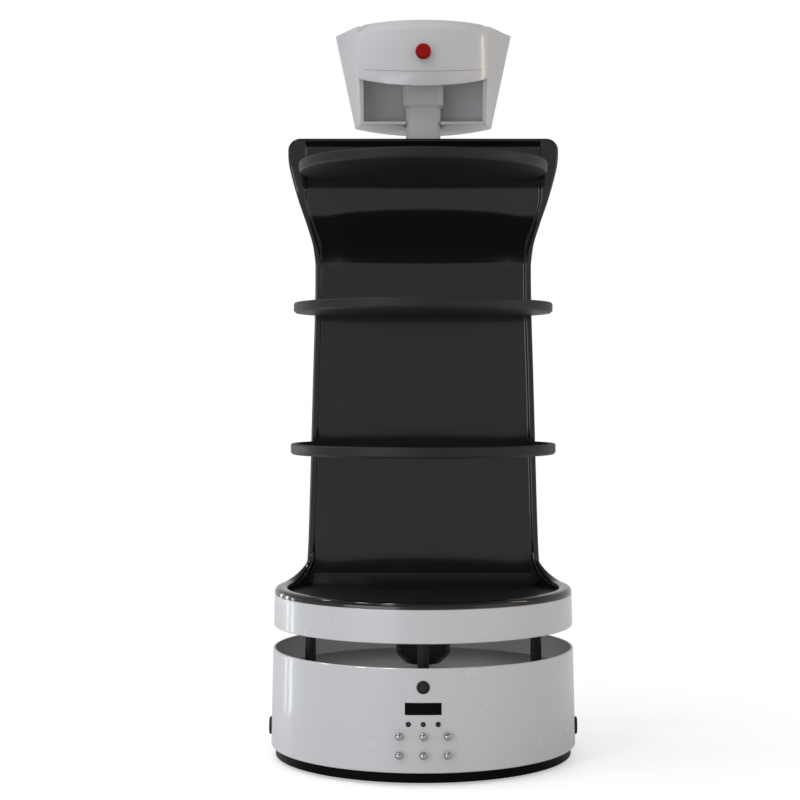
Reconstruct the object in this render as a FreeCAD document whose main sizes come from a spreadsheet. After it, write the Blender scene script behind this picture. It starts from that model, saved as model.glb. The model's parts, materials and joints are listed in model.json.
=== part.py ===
import FreeCAD, Part
import math
import os

import Sketcher

# A delivery robot: a low round drive base, a scanner gap, a base tray that rises into a back column,
# three round trays, and a head with a screen on a square neck.
# Millimetres. Origin on the floor under the middle of the base, +Z up, +Y the way it drives and the
# way the screen faces, +X to the right for someone who stands behind it and loads the trays.

doc = FreeCAD.newDocument("delivery_robot")

# Driving dimensions

SIZES = [
    # name, value
    # Longer than anything on the robot, for tools that cut right through it
    ("reach", 320.0),
    # White base shell: a slightly tapered ring, open at the top
    ("shell_foot_r", 250.0),
    ("shell_foot_z", 20.0),
    ("shell_top_r", 246.5),
    ("shell_top_z", 177.7),
    ("shell_wall", 3.5),
    ("shell_edge_round", 1.2),
    # Deck inside the shell and chassis plate under it
    ("deck_top_z", 138.0),
    ("deck_thick", 4.0),
    ("chassis_z", 21.0),
    ("chassis_thick", 4.0),
    ("seam_gap", 0.3),
    ("skirt_wall", 4.0),
    ("skirt_z", 4.0),
    # Battery, a heavy closed block
    ("battery_wide", 170.0),
    ("battery_long", 150.0),
    ("battery_high", 80.0),
    # Drive wheels
    ("drive_wheel_r", 62.5),
    ("drive_wheel_wide", 34.0),
    ("drive_wheel_inset", 62.0),
    ("drive_tyre_thick", 11.0),
    ("drive_axle_r", 7.0),
    ("drive_well_clear", 8.0),
    ("running_clear", 0.05),
    ("bracket_thick", 6.0),
    ("bracket_long", 56.0),
    ("bracket_gap", 6.0),
    # Swivel casters
    ("caster_x", 112.0),
    ("caster_y", 138.0),
    ("caster_wheel_r", 25.0),
    ("caster_wheel_wide", 18.0),
    ("caster_trail", 17.0),
    ("caster_fork_thick", 3.0),
    ("caster_side_gap", 1.0),
    ("caster_crown_r", 19.0),
    ("caster_crown_z", 66.0),
    ("caster_crown_thick", 5.0),
    ("caster_stem_r", 6.0),
    ("caster_axle_r", 3.0),
    ("caster_cup_r", 52.0),
    ("caster_cup_wall", 3.0),
    # Collar above the scanner gap
    ("collar_foot_r", 245.2),
    ("collar_foot_z", 214.5),
    ("collar_top_r", 244.0),
    ("collar_top_z", 266.4),
    ("collar_wall", 4.0),
    ("collar_plate_z", 217.0),
    ("collar_plate_thick", 5.0),
    # Posts that carry the collar, and the scanner that hangs between them
    ("post_r", 9.0),
    ("post_ring_r", 186.0),
    ("scanner_r", 45.0),
    ("scanner_nose_r", 29.0),
    ("scanner_step_z", 164.0),
    ("scanner_low_z", 149.0),
    ("scanner_band_z", 196.0),
    # Controls on the back of the shell
    ("power_z", 149.5),
    ("power_r", 9.9),
    ("power_key_r", 7.6),
    ("power_proud", 1.6),
    ("status_z", 117.0),
    ("status_wide", 55.4),
    ("status_high", 18.3),
    ("status_sunk", 0.8),
    ("socket_z", 93.8),
    ("socket_pitch", 22.6),
    ("socket_r", 3.75),
    ("socket_bore_r", 2.1),
    ("socket_deep", 9.0),
    ("contact_pitch", 37.0),
    ("contact_high_z", 76.0),
    ("contact_low_z", 47.6),
    ("contact_ball_r", 6.0),
    ("contact_ball_cut", 3.4),
    ("contact_stem_r", 3.4),
    ("contact_reach", 12.0),
    ("side_cap_z", 45.5),
    ("side_cap_r", 14.5),
    ("side_cap_proud", 4.0),
    ("control_clear", 0.2),
    ("control_deep", 9.0),
    # Base tray with its rolled rim
    ("tray_floor_z", 264.0),
    ("tray_floor_thick", 6.0),
    ("rim_crest_z", 277.0),
    ("rim_wide", 23.0),
    ("rim_round", 5.0),
    # Back column, seen from behind
    ("column_foot_half", 200.5),
    ("column_upright_z", 296.0),
    ("column_waist_half", 182.9),
    ("column_waist_z", 830.7),
    ("column_head_half", 228.6),
    ("column_shoulder_z", 979.0),
    ("column_top_z", 1024.0),
    ("column_waist_round", 176.0),
    ("column_shoulder_round", 60.0),
    ("column_corner_round", 20.0),
    # Back column, seen from the side
    ("panel_y", 115.0),
    ("panel_head_y", 76.0),
    ("lean_low_z", 825.0),
    ("lean_high_z", 924.0),
    ("lean_round", 45.0),
    ("cove_round", 22.0),
    ("bead_wide", 10.0),
    ("opening_head_half", 198.2),
    ("opening_flare_z", 921.0),
    ("bead_proud", 7.0),
    ("back_foot_y", 231.0),
    ("back_waist_y", 210.0),
    ("back_top_y", 176.0),
    ("back_top_round", 28.0),
    # Outer cone of the column, about the robot's own axis
    ("cone_foot_inset", 10.5),
    ("cone_waist_r", 219.0),
    ("cone_head_r", 243.5),
    ("column_wall", 3.0),
    ("cover_y", 168.0),
    # Round trays
    ("tray_rim_wide", 10.0),
    ("tray_well_deep", 8.0),
    ("tray_edge_round", 1.6),
    # Neck
    ("neck_y", 96.0),
    ("neck_wide", 58.6),
    ("neck_deep", 34.0),
    ("neck_corner", 8.0),
    ("sleeve_wide", 68.5),
    ("sleeve_deep", 40.0),
    ("sleeve_z", 1083.0),
    ("sleeve_top_z", 1168.0),
    # Head
    ("face_tilt", 16.7),
    ("face_foot_y", 165.0),
    ("face_foot_z", 1055.0),
    ("face_high", 159.0),
    ("face_foot_half", 118.0),
    ("face_top_half", 150.0),
    ("face_bow", 13.0),
    ("bezel_thick", 10.0),
    ("bezel_inset", 0.8),
    ("bezel_margin", 12.0),
    ("glass_thick", 3.0),
    ("glass_sunk", 0.5),
    ("partition_thick", 3.0),
    ("screen_unit_deep", 24.0),
    ("nape_tilt", 5.3),
    ("nape_foot_y", 80.0),
    ("nape_foot_z", 1049.0),
    ("nape_high", 164.0),
    ("nape_foot_half", 106.0),
    ("nape_top_half", 111.0),
    ("head_wall", 5.0),
    ("crown_r", 159.4),
    ("crown_back_y", 20.0),
    ("crown_lip_z", 1104.0),
    ("crown_crease_z", 1128.0),
    ("crown_tuck", 4.0),
    ("crown_top_z", 1218.0),
    ("crown_round", 18.0),
    ("crown_lip_slope", 24.0),
    ("stop_z", 1160.0),
    ("stop_r", 13.0),
    ("stop_proud", 14.0),
    ("stop_collar_r", 10.0),
]

sheet = doc.addObject("Spreadsheet::Sheet", "dims")
for row, (name, value) in enumerate(SIZES, start=1):
    sheet.set(f"A{row}", name)
    sheet.set(f"B{row}", str(value))
    sheet.setAlias(f"B{row}", name)
doc.recompute()

probe = doc.addObject("App::FeaturePython", "probe")
probe.addProperty("App::PropertyFloat", "reading")
kept = []


def number(expression):
    """The value that an expression on the sheet's names has now."""
    probe.setExpression("reading", expression)
    probe.recompute()
    return probe.reading


def size(*names):
    """Names on the sheet as one expression each, or a single one."""
    found = [f"dims.{name}" for name in names]
    return found[0] if len(found) == 1 else found


def keep(thing, label=None):
    """Mark an object as a finished sub-part, under its node's name."""
    if label:
        thing.Label = label
    kept.append(thing)
    return thing


def place(thing, x="0", y="0", z="0", turn=None):
    """Bind where an object stands, and turn it about an axis first."""
    if turn:
        axis, angle = turn
        rotation = FreeCAD.Rotation(FreeCAD.Vector(*axis), number(angle))
        thing.Placement = FreeCAD.Placement(FreeCAD.Vector(), rotation)
        if "dims." in angle:
            thing.setExpression("Placement.Rotation.Angle", angle)
    for letter, expression in zip("xyz", (x, y, z)):
        thing.setExpression(f"Placement.Base.{letter}", expression)
    return thing


# Sketches and features

def new_body(label):
    return doc.addObject("PartDesign::Body", label)


def origin_feature(body, role):
    return next(f for f in body.Origin.OriginFeatures if f.Role == role)


def draw(body, name, plane, corners, bulges=None, lift=None, tilt=None, bevel=False):
    """A closed outline on one of the body's origin planes.

    Each corner is (across, up) or (across, up, round), as expressions; with bevel the third is the
    length that a straight bevel takes off each side. bulges gives the radius of the arc that takes
    the place of the straight run after a corner, by that corner's number: a positive one swells to
    the right of the way from corner to corner, a negative one to the left.
    """
    sketch = body.newObject("Sketcher::SketchObject", name)
    sketch.AttachmentSupport = [(origin_feature(body, plane), "")]
    sketch.MapMode = "FlatFace"
    if lift or tilt:
        angle = number(tilt) if tilt else 0.0
        turn = FreeCAD.Rotation(FreeCAD.Vector(1, 0, 0), angle)
        sketch.AttachmentOffset = FreeCAD.Placement(FreeCAD.Vector(), turn)
        for letter, expression in zip("xyz", lift or ("0", "0", "0")):
            sketch.setExpression(f"AttachmentOffset.Base.{letter}", expression)
        if tilt:
            sketch.setExpression("AttachmentOffset.Rotation.Angle", tilt)
    bulges = bulges or {}
    count = len(corners)
    points = [FreeCAD.Vector(number(c[0]), number(c[1]), 0) for c in corners]
    rounds = [number(c[2]) if len(c) > 2 else 0.0 for c in corners]
    starts, ends, centres = [], [], []
    for i, point in enumerate(points):
        before = (points[i - 1] - point).normalize()
        after = (points[(i + 1) % count] - point).normalize()
        half = before.getAngle(after) / 2
        reach = rounds[i] / (1 if bevel else math.tan(half)) if rounds[i] else 0.0
        ends.append(point + before * reach)
        starts.append(point + after * reach)
        middle = before + after
        away = rounds[i] / math.sin(half) if rounds[i] else 0.0
        centres.append(point + middle.normalize() * away if rounds[i] else point)
    runs = []
    for i in range(count):
        a, b = starts[i], ends[(i + 1) % count]
        if i in bulges:
            radius = number(bulges[i])
            runs.append(sketch.addGeometry(bulged_arc(a, b, radius), False))
            sketch.setExpression(radius_constraint(sketch, runs[-1], abs(radius)),
                                 bulges[i] if radius > 0 else f"-({bulges[i]})")
        else:
            runs.append(sketch.addGeometry(Part.LineSegment(a, b), False))
    for i, corner in enumerate(corners):
        arrives, leaves = runs[i - 1], runs[i]
        arrive_end = 1 if flipped(sketch, arrives, ends[i]) else 2
        leave_start = 2 if flipped(sketch, leaves, starts[i], at_start=True) else 1
        if rounds[i] and bevel:
            slope = sketch.addGeometry(Part.LineSegment(ends[i], starts[i]), False)
            spot = sketch.addGeometry(Part.Point(points[i]), True)
            sketch.addConstraint([
                Sketcher.Constraint("PointOnObject", spot, 1, arrives),
                Sketcher.Constraint("PointOnObject", spot, 1, leaves),
                Sketcher.Constraint("Coincident", arrives, arrive_end, slope, 1),
                Sketcher.Constraint("Coincident", leaves, leave_start, slope, 2),
            ])
            for end in (1, 2):
                index = sketch.addConstraint(
                    Sketcher.Constraint("Distance", spot, 1, slope, end, rounds[i]))
                sketch.setExpression(f"Constraints[{index}]", corner[2])
            pin_point(sketch, spot, 1, corner, points[i])
        elif rounds[i]:
            arc = sketch.addGeometry(round_arc(centres[i], ends[i], starts[i]), False)
            first = near(sketch, arc, ends[i])
            spot = sketch.addGeometry(Part.Point(points[i]), True)
            sketch.addConstraint([
                Sketcher.Constraint("PointOnObject", spot, 1, arrives),
                Sketcher.Constraint("PointOnObject", spot, 1, leaves),
                Sketcher.Constraint("Tangent", arrives, arrive_end, arc, first),
                Sketcher.Constraint("Tangent", leaves, leave_start, arc, 3 - first),
            ])
            sketch.setExpression(radius_constraint(sketch, arc, rounds[i]), corner[2])
            pin_point(sketch, spot, 1, corner, points[i])
        else:
            sketch.addConstraint(
                Sketcher.Constraint("Coincident", arrives, arrive_end, leaves, leave_start))
            pin_point(sketch, leaves, leave_start, corner, points[i])
    return sketch


def radius_constraint(sketch, curve, radius):
    """Give an arc its radius and return the constraint's path for an expression."""
    index = sketch.addConstraint(Sketcher.Constraint("Radius", curve, radius))
    return f"Constraints[{index}]"


def pin_point(sketch, curve, which, corner, point):
    """Hold a point at its corner's two expressions."""
    for kind, expression, value in (("DistanceX", corner[0], point.x), ("DistanceY", corner[1], point.y)):
        index = sketch.addConstraint(Sketcher.Constraint(kind, -1, 1, curve, which, value))
        sketch.setExpression(f"Constraints[{index}]", expression)


def round_arc(centre, a, b):
    """The short arc about a centre between two points, as a sketch takes it."""
    start = math.atan2(a.y - centre.y, a.x - centre.x)
    end = math.atan2(b.y - centre.y, b.x - centre.x)
    if (end - start) % (2 * math.pi) > math.pi:
        start, end = end, start
    circle = Part.Circle(centre, FreeCAD.Vector(0, 0, 1), (a - centre).Length)
    return Part.ArcOfCircle(circle, start, end)


def bulged_arc(a, b, radius):
    """The shallow arc of a given radius from a to b: right of the way for a positive radius."""
    chord = b - a
    side = FreeCAD.Vector(-chord.y, chord.x, 0).normalize() * (1 if radius > 0 else -1)
    rise = math.sqrt(radius ** 2 - (chord.Length / 2) ** 2)
    return round_arc((a + b) / 2 + side * rise, a, b)


def near(sketch, curve, point):
    """Which end of a curve, 1 or 2, lies at a point."""
    shape = sketch.Geometry[curve]
    return 1 if shape.StartPoint.distanceToPoint(point) < shape.EndPoint.distanceToPoint(point) else 2


def flipped(sketch, curve, point, at_start=False):
    """Whether a run is stored the other way round from the way the outline goes."""
    return near(sketch, curve, point) == (2 if at_start else 1)


def revolve(body, sketch, axis="Z_Axis"):
    turned = body.newObject("PartDesign::Revolution", f"{body.Name}_turn")
    turned.Profile = sketch
    turned.ReferenceAxis = (origin_feature(body, axis), [""])
    turned.Angle = 360
    return body


def pad(body, sketch, length, both_ways=False, back=False):
    block = body.newObject("PartDesign::Pad", f"{body.Name}_pad")
    block.Profile = sketch
    block.setExpression("Length", length)
    block.Midplane = both_ways
    block.Reversed = back
    return body


def turned(label, corners, axis="Z_Axis", bevel=True):
    """A body turned about its own X, Y or Z axis from (radius, along) corners, or (along, radius)."""
    plane = {"Z_Axis": "XZ_Plane", "Y_Axis": "XY_Plane", "X_Axis": "XY_Plane"}[axis]
    body = new_body(label)
    return revolve(body, draw(body, f"{label}_profile", plane, corners, bevel=bevel), axis)


def prism(label, plane, corners, length, bulges=None, both_ways=False, back=False, lift=None):
    """A body padded from an outline on an origin plane."""
    body = new_body(label)
    outline = draw(body, f"{label}_outline", plane, corners, bulges, lift)
    return pad(body, outline, length, both_ways, back)


# Primitives and booleans

def solid(kind, label, turn=None, x="0", y="0", z="0", **measures):
    thing = doc.addObject(f"Part::{kind}", label)
    for name, expression in measures.items():
        thing.setExpression(name, expression)
    return place(thing, x, y, z, turn)


ALONG_X = ((0, 1, 0), "90")
ALONG_Y = ((1, 0, 0), "-90")


def box(label, low, high):
    """A box from its lowest and highest corners, given as expressions."""
    spans = {name: f"({high[i]}) - ({low[i]})" for i, name in enumerate(("Length", "Width", "Height"))}
    return solid("Box", label, None, *low, **spans)


def cut(label, base, tools):
    for number_of_cut, tool in enumerate(tools):
        step = doc.addObject("Part::Cut", f"{label}_cut_{number_of_cut}")
        step.Base, step.Tool = base, tool
        base = step
    base.Label = label
    return base


def fuse(label, things):
    whole = doc.addObject("Part::MultiFuse", label)
    whole.Shapes = things
    return whole


def common(label, things):
    whole = doc.addObject("Part::MultiCommon", label)
    whole.Shapes = things
    return whole


def group(label, things):
    """Like pieces on one body that don't touch, as one node."""
    whole = doc.addObject("Part::Compound", label)
    whole.Links = things
    return whole


def cone_r(foot_r, foot_z, top_r, top_z, at_z):
    """Radius of a straight taper at a height."""
    return f"({foot_r} + ({top_r} - {foot_r}) * (({at_z}) - {foot_z}) / ({top_z} - {foot_z}))"


SHELL = size("shell_foot_r", "shell_foot_z", "shell_top_r", "shell_top_z")
COLLAR = size("collar_foot_r", "collar_foot_z", "collar_top_r", "collar_top_z")


def shell_r(at_z):
    """Outer radius of the base shell at a height."""
    return cone_r(*SHELL, at_z)


def shell_y(at_x, at_z):
    """How far behind the axis the shell's back stands, off to one side and at a height."""
    return f"sqrt({shell_r(at_z)} ^ 2 - ({at_x}) ^ 2)"


# Base shell and the controls on its back

def inside_r(foot_r, foot_z, top_r, top_z, wall):
    """Inner radius of a ring that tapers outside and is straight inside."""
    return f"(min({foot_r}; {top_r}) - {wall})"


def ring_corners(foot_r, foot_z, top_r, top_z, wall, edge):
    inner = inside_r(foot_r, foot_z, top_r, top_z, wall)
    return [(inner, foot_z), (foot_r, foot_z, edge), (top_r, top_z, edge), (inner, top_z)]


def stub(label, x, z, r, length, back_y):
    """A cylinder along Y whose back face, towards -Y, is at back_y."""
    return solid("Cylinder", label, ALONG_Y, x=x, y=back_y, z=z, Radius=r, Height=length)


def side_stub(label, sign, r, z, inner, outer):
    """A cylinder along X on one side, from one distance to another off the axis."""
    start = inner if sign > 0 else f"-({outer})"
    return solid("Cylinder", label, ALONG_X, x=start, z=z, Radius=r, Height=f"({outer}) - ({inner})")


COLUMNS = [(-1, "left"), (0, "middle"), (1, "right")]
CONTACTS = [
    # steps across, row, height
    (steps, f"{side}_{row}", f"dims.contact_{row}_z")
    for row in ("high", "low") for steps, side in COLUMNS
]


def contact_x(steps):
    return f"{steps} * dims.contact_pitch"


def base_shell():
    wall = turned("shell_ring", ring_corners(*SHELL, "dims.shell_wall", "dims.shell_edge_round"))
    through = "dims.shell_wall * 4"
    tools = [
        stub("power_hole", "0", "dims.power_z", "dims.power_r + dims.control_clear", through,
             f"-{shell_r('dims.power_z')} - dims.shell_wall"),
        box("status_hole",
            ("-dims.status_wide / 2 - dims.control_clear", f"-{shell_r('dims.status_z')} - dims.shell_wall",
             "dims.status_z - dims.status_high / 2 - dims.control_clear"),
            ("dims.status_wide / 2 + dims.control_clear", f"-{shell_r('dims.status_z')} + dims.shell_wall * 3",
             "dims.status_z + dims.status_high / 2 + dims.control_clear")),
    ]
    for steps, side in COLUMNS:
        tools.append(stub(f"socket_hole_{side}", f"{steps} * dims.socket_pitch", "dims.socket_z",
                          "dims.socket_r + dims.control_clear", through,
                          f"-{shell_r('dims.socket_z')} - dims.shell_wall"))
    for steps, name, height in CONTACTS:
        tools.append(stub(f"contact_hole_{name}", contact_x(steps), height,
                          "dims.contact_stem_r + dims.control_clear", through,
                          f"-{shell_r(height)} - dims.shell_wall"))
    for sign in (-1, 1):
        tools.append(side_stub(f"side_cap_hole_{sign + 1}", sign, "dims.side_cap_r + dims.control_clear",
                               "dims.side_cap_z", f"{shell_r('dims.side_cap_z')} - dims.shell_wall * 3",
                               f"{shell_r('dims.side_cap_z')} + dims.shell_wall"))
    keep(cut("base_shell", wall, tools))


def power_button():
    seat = shell_r("dims.power_z")
    inner = f"{seat} - dims.control_deep"
    ring = [("dims.power_key_r + dims.control_clear", f"-({inner})"), ("dims.power_r", f"-({inner})"),
            ("dims.power_r", f"-({seat} + dims.power_proud)", "dims.shell_edge_round / 2"),
            ("dims.power_key_r + dims.control_clear", f"-({seat} + dims.power_proud)")]
    keep(place(turned("power_bezel", ring, "Y_Axis"), z="dims.power_z"))
    proud = "dims.power_proud * 1.4"
    key = [("0", f"-({inner})"), ("dims.power_key_r", f"-({inner})"),
           ("dims.power_key_r", f"-({seat} + {proud})", "dims.shell_edge_round"),
           ("0", f"-({seat} + {proud})")]
    keep(place(turned("power_button", key, "Y_Axis"), z="dims.power_z"))


def status_window():
    sunk, deep = size("status_sunk", "control_deep")
    band = turned("status_band", [
        (f"{shell_r('dims.shell_foot_z')} - {deep}", "dims.shell_foot_z"),
        (f"{shell_r('dims.shell_foot_z')} - {sunk}", "dims.shell_foot_z"),
        (f"{shell_r('dims.shell_top_z')} - {sunk}", "dims.shell_top_z"),
        (f"{shell_r('dims.shell_top_z')} - {deep}", "dims.shell_top_z")])
    block = box("status_block",
                ("-dims.status_wide / 2", "-dims.reach", "dims.status_z - dims.status_high / 2"),
                ("dims.status_wide / 2", "0", "dims.status_z + dims.status_high / 2"))
    keep(common("status_window", [band, block]))


def sockets():
    seat = shell_r("dims.socket_z")
    made = []
    for steps, side in COLUMNS:
        back = f"-({seat} + dims.control_clear * 2)"
        shaft = stub(f"socket_tube_{side}", f"{steps} * dims.socket_pitch", "dims.socket_z",
                     "dims.socket_r", "dims.socket_deep + dims.shell_wall / 2", back)
        bore = stub(f"socket_bore_{side}", f"{steps} * dims.socket_pitch", "dims.socket_z",
                    "dims.socket_bore_r", "dims.socket_deep", back)
        made.append(cut(f"socket_{side}", shaft, [bore]))
    keep(group("sockets", made))


def charge_contacts():
    """Six round-headed pins; the head's sides are cut back to look like a ball."""
    made = []
    ball, cut_back = size("contact_ball_r", "contact_ball_cut")
    for steps, name, height in CONTACTS:
        seat = shell_y(contact_x(steps), height)
        tip = f"-({seat} + dims.contact_reach)"
        pin = turned(f"contact_{name}", [
            ("0", f"-({seat} - dims.control_deep)"),
            ("dims.contact_stem_r", f"-({seat} - dims.control_deep)"),
            ("dims.contact_stem_r", f"{tip} + 2 * {ball}"),
            (ball, f"{tip} + 2 * {ball}", cut_back), (ball, tip, cut_back), ("0", tip)], "Y_Axis")
        made.append(place(pin, x=contact_x(steps), z=height))
    keep(group("charge_contacts", made))


def side_caps():
    seat = shell_r("dims.side_cap_z")
    profile = [(f"{seat} - dims.control_deep", "0"), (f"{seat} - dims.control_deep", "dims.side_cap_r"),
               (f"{seat} + dims.side_cap_proud", "dims.side_cap_r", "dims.shell_edge_round"),
               (f"{seat} + dims.side_cap_proud", "0")]
    for side, sign in (("left", -1), ("right", 1)):
        along = [(f"{sign} * ({c[0]})",) + c[1:] for c in profile]
        keep(place(turned(f"side_cap_{side}", along, "X_Axis"), z="dims.side_cap_z"))


# Inside the base

def deck():
    r = f"{inside_r(*SHELL, 'dims.shell_wall')} - dims.seam_gap"
    keep(solid("Cylinder", "deck_plate", z="dims.deck_top_z - dims.deck_thick", Radius=r,
               Height="dims.deck_thick"))


DRIVE_X = "(dims.shell_foot_r - dims.drive_wheel_inset)"


def well_half_long():
    return "(dims.drive_wheel_r + dims.drive_well_clear)"


CASTERS = [
    # name, side, end: front is the way it drives
    ("front_left", -1, 1), ("front_right", 1, 1), ("rear_left", -1, -1), ("rear_right", 1, -1),
]


def chassis():
    """Flat plate with two wheel openings and four upturned caster cups."""
    plate_top = "dims.chassis_z + dims.chassis_thick"
    plate = solid("Cylinder", "chassis_disc", z="dims.chassis_z", Height="dims.chassis_thick",
                  Radius=f"{inside_r(*SHELL, 'dims.shell_wall')} - dims.seam_gap")
    cup_top = "dims.caster_crown_z + dims.caster_crown_thick + dims.seam_gap + dims.caster_cup_wall"
    outers, inners = [], []
    for name, side, end in CASTERS:
        x, y = f"{side} * dims.caster_x", f"{end} * dims.caster_y"
        outers.append(solid("Cylinder", f"cup_{name}", x=x, y=y, z="dims.chassis_z",
                            Radius="dims.caster_cup_r + dims.caster_cup_wall",
                            Height=f"{cup_top} - dims.chassis_z"))
        inners.append(solid("Cylinder", f"cup_hollow_{name}", x=x, y=y, z="0",
                            Radius="dims.caster_cup_r", Height=f"{cup_top} - dims.caster_cup_wall"))
        inners.append(solid("Cylinder", f"cup_bore_{name}", x=x, y=y, z="0",
                            Radius="dims.caster_stem_r + dims.running_clear", Height=f"{cup_top} + 1"))
    for side in (-1, 1):
        near_x = f"{DRIVE_X} - dims.drive_wheel_wide / 2 - dims.drive_well_clear"
        far_x = f"{DRIVE_X} + dims.drive_wheel_wide / 2 + dims.drive_well_clear"
        low, high = (near_x, far_x) if side > 0 else (f"-({far_x})", f"-({near_x})")
        inners.append(box(f"drive_opening_{side + 1}", (low, f"-{well_half_long()}", "0"),
                          (high, well_half_long(), plate_top)))
    keep(cut("chassis_plate", fuse("chassis_blank", [plate] + outers), inners))


def skirt():
    """Ring under the chassis plate that closes the gap to the floor."""
    outer = f"({inside_r(*SHELL, 'dims.shell_wall')} - dims.seam_gap)"
    keep(turned("base_skirt", [
        (f"{outer} - dims.skirt_wall", "dims.skirt_z"), (outer, "dims.skirt_z"),
        (outer, "dims.chassis_z"), (f"{outer} - dims.skirt_wall", "dims.chassis_z")]))


def battery():
    low_z = "dims.chassis_z + dims.chassis_thick"
    keep(box("battery_block", ("-dims.battery_wide / 2", "-dims.battery_long / 2", low_z),
             ("dims.battery_wide / 2", "dims.battery_long / 2", f"{low_z} + dims.battery_high")))


def drive_wheels():
    half = "dims.drive_wheel_wide / 2"
    rim = "dims.drive_wheel_r - dims.drive_tyre_thick"
    tyre = [(f"-{half}", rim), (f"-{half}", "dims.drive_wheel_r", "dims.shell_edge_round * 4"),
            (half, "dims.drive_wheel_r", "dims.shell_edge_round * 4"), (half, rim)]
    bore = "dims.drive_axle_r + dims.running_clear"
    dish = "dims.drive_wheel_wide / 5"
    for side, sign in (("left", -1), ("right", 1)):
        x = f"{sign} * {DRIVE_X}"
        keep(place(turned(f"drive_tyre_{side}", tyre, "X_Axis"), x=x, z="dims.drive_wheel_r"))
        hub = [(f"-{half} * {sign}", bore), (f"-{half} * {sign}", rim),
               (f"{half} * {sign}", rim), (f"{half} * {sign}", f"{rim} - 5"),
               (f"({half} - {dish}) * {sign}", f"{rim} - 9"),
               (f"({half} - {dish}) * {sign}", f"{bore} + 12"),
               (f"({half} - 1) * {sign}", f"{bore} + 9"), (f"({half} - 1) * {sign}", bore)]
        keep(place(turned(f"drive_hub_{side}", hub, "X_Axis"), x=x, z="dims.drive_wheel_r"))
        bracket(side, sign)


def bracket(side, sign):
    """Upright plate on the chassis that carries a drive wheel's fixed axle."""
    face = f"{DRIVE_X} - dims.drive_wheel_wide / 2 - dims.bracket_gap"
    back = f"{face} - dims.bracket_thick"
    low_z = "dims.chassis_z + dims.chassis_thick"
    foot_x = f"{face} - dims.drive_well_clear"
    spans = [
        # near, far, top
        ("plate", back, face, "dims.drive_wheel_r + dims.drive_axle_r * 3"),
        ("foot", f"{foot_x} - dims.bracket_thick * 4", face, f"{low_z} + dims.bracket_thick"),
    ]
    made = []
    for name, low, high, top in spans:
        ends = (low, high) if sign > 0 else (f"-({high})", f"-({low})")
        made.append(box(f"bracket_{name}_{side}", (ends[0], "-dims.bracket_long / 2", low_z),
                        (ends[1], "dims.bracket_long / 2", top)))
    made.append(side_stub(f"axle_{side}", sign, "dims.drive_axle_r", "dims.drive_wheel_r",
                          back, f"{DRIVE_X} + dims.drive_wheel_wide / 2 - 1"))
    keep(fuse(f"drive_bracket_{side}", made))


def casters():
    """Four forks that swivel about Z, each with a wheel that trails behind its stem."""
    inner = "dims.caster_wheel_wide / 2 + dims.caster_side_gap"
    outer = f"{inner} + dims.caster_fork_thick"
    for name, side, end in CASTERS:
        x, y = f"{side} * dims.caster_x", f"{end} * dims.caster_y"
        axle_y = f"{y} - dims.caster_trail"
        crown = solid("Cylinder", f"crown_{name}", x=x, y=y, z="dims.caster_crown_z",
                      Radius="dims.caster_crown_r", Height="dims.caster_crown_thick")
        stem = solid("Cylinder", f"stem_{name}", x=x, y=y, z="dims.caster_crown_z",
                     Radius="dims.caster_stem_r",
                     Height="dims.caster_crown_thick + dims.caster_cup_wall + dims.seam_gap")
        legs = []
        for leg, leg_sign in (("left", -1), ("right", 1)):
            low, high = (inner, outer) if leg_sign > 0 else (f"-({outer})", f"-({inner})")
            body = prism(f"leg_{name}_{leg}", "YZ_Plane", [
                ("dims.caster_crown_r - 4", "dims.caster_crown_z + 1"),
                ("-dims.caster_crown_r + 2", "dims.caster_crown_z + 1"),
                ("-dims.caster_trail - 9", "dims.caster_wheel_r - 8", "7"),
                ("-dims.caster_trail + 9", "dims.caster_wheel_r - 8", "7")],
                "dims.caster_fork_thick")
            legs.append(place(body, x=f"{x} + {low}", y=y))
        axle = solid("Cylinder", f"caster_axle_{name}", ALONG_X, x=f"{x} - ({outer})", y=axle_y,
                     z="dims.caster_wheel_r", Radius="dims.caster_axle_r", Height=f"2 * ({outer})")
        keep(fuse(f"caster_fork_{name}", [crown, stem, axle] + legs))
        half = "dims.caster_wheel_wide / 2"
        bore = "dims.caster_axle_r + dims.running_clear"
        wheel = [(f"-{half}", bore), (f"-{half}", "dims.caster_wheel_r"), (half, "dims.caster_wheel_r"),
                 (half, bore)]
        keep(place(turned(f"caster_wheel_{name}", wheel, "X_Axis"), x=x, y=axle_y,
                   z="dims.caster_wheel_r"))


# Scanner gap and collar

def posts():
    spots = [("rear", 0, -1), ("front", 0, 1), ("left", -1, 0), ("right", 1, 0)]
    for name, across, along in spots:
        keep(solid("Cylinder", f"post_{name}", x=f"{across} * dims.post_ring_r",
                   y=f"{along} * dims.post_ring_r", z="dims.deck_top_z", Radius="dims.post_r",
                   Height="dims.collar_plate_z - dims.deck_top_z"))


def scanner():
    keep(turned("scanner_head", [
        ("0", "dims.scanner_low_z"), ("dims.scanner_nose_r", "dims.scanner_low_z", "2"),
        ("dims.scanner_r", "dims.scanner_step_z", "3"), ("dims.scanner_r", "dims.scanner_band_z"),
        ("0", "dims.scanner_band_z")]))
    keep(solid("Cylinder", "scanner_mount", z="dims.scanner_band_z", Radius="dims.scanner_r + 4",
               Height="dims.collar_plate_z - dims.scanner_band_z"))


def collar():
    keep(turned("collar_ring", ring_corners(*COLLAR, "dims.collar_wall", "dims.shell_edge_round")))
    r = f"{inside_r(*COLLAR, 'dims.collar_wall')} - dims.seam_gap"
    keep(solid("Cylinder", "collar_plate", z="dims.collar_plate_z", Radius=r,
               Height="dims.collar_plate_thick"))


# Base tray and back column

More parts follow.
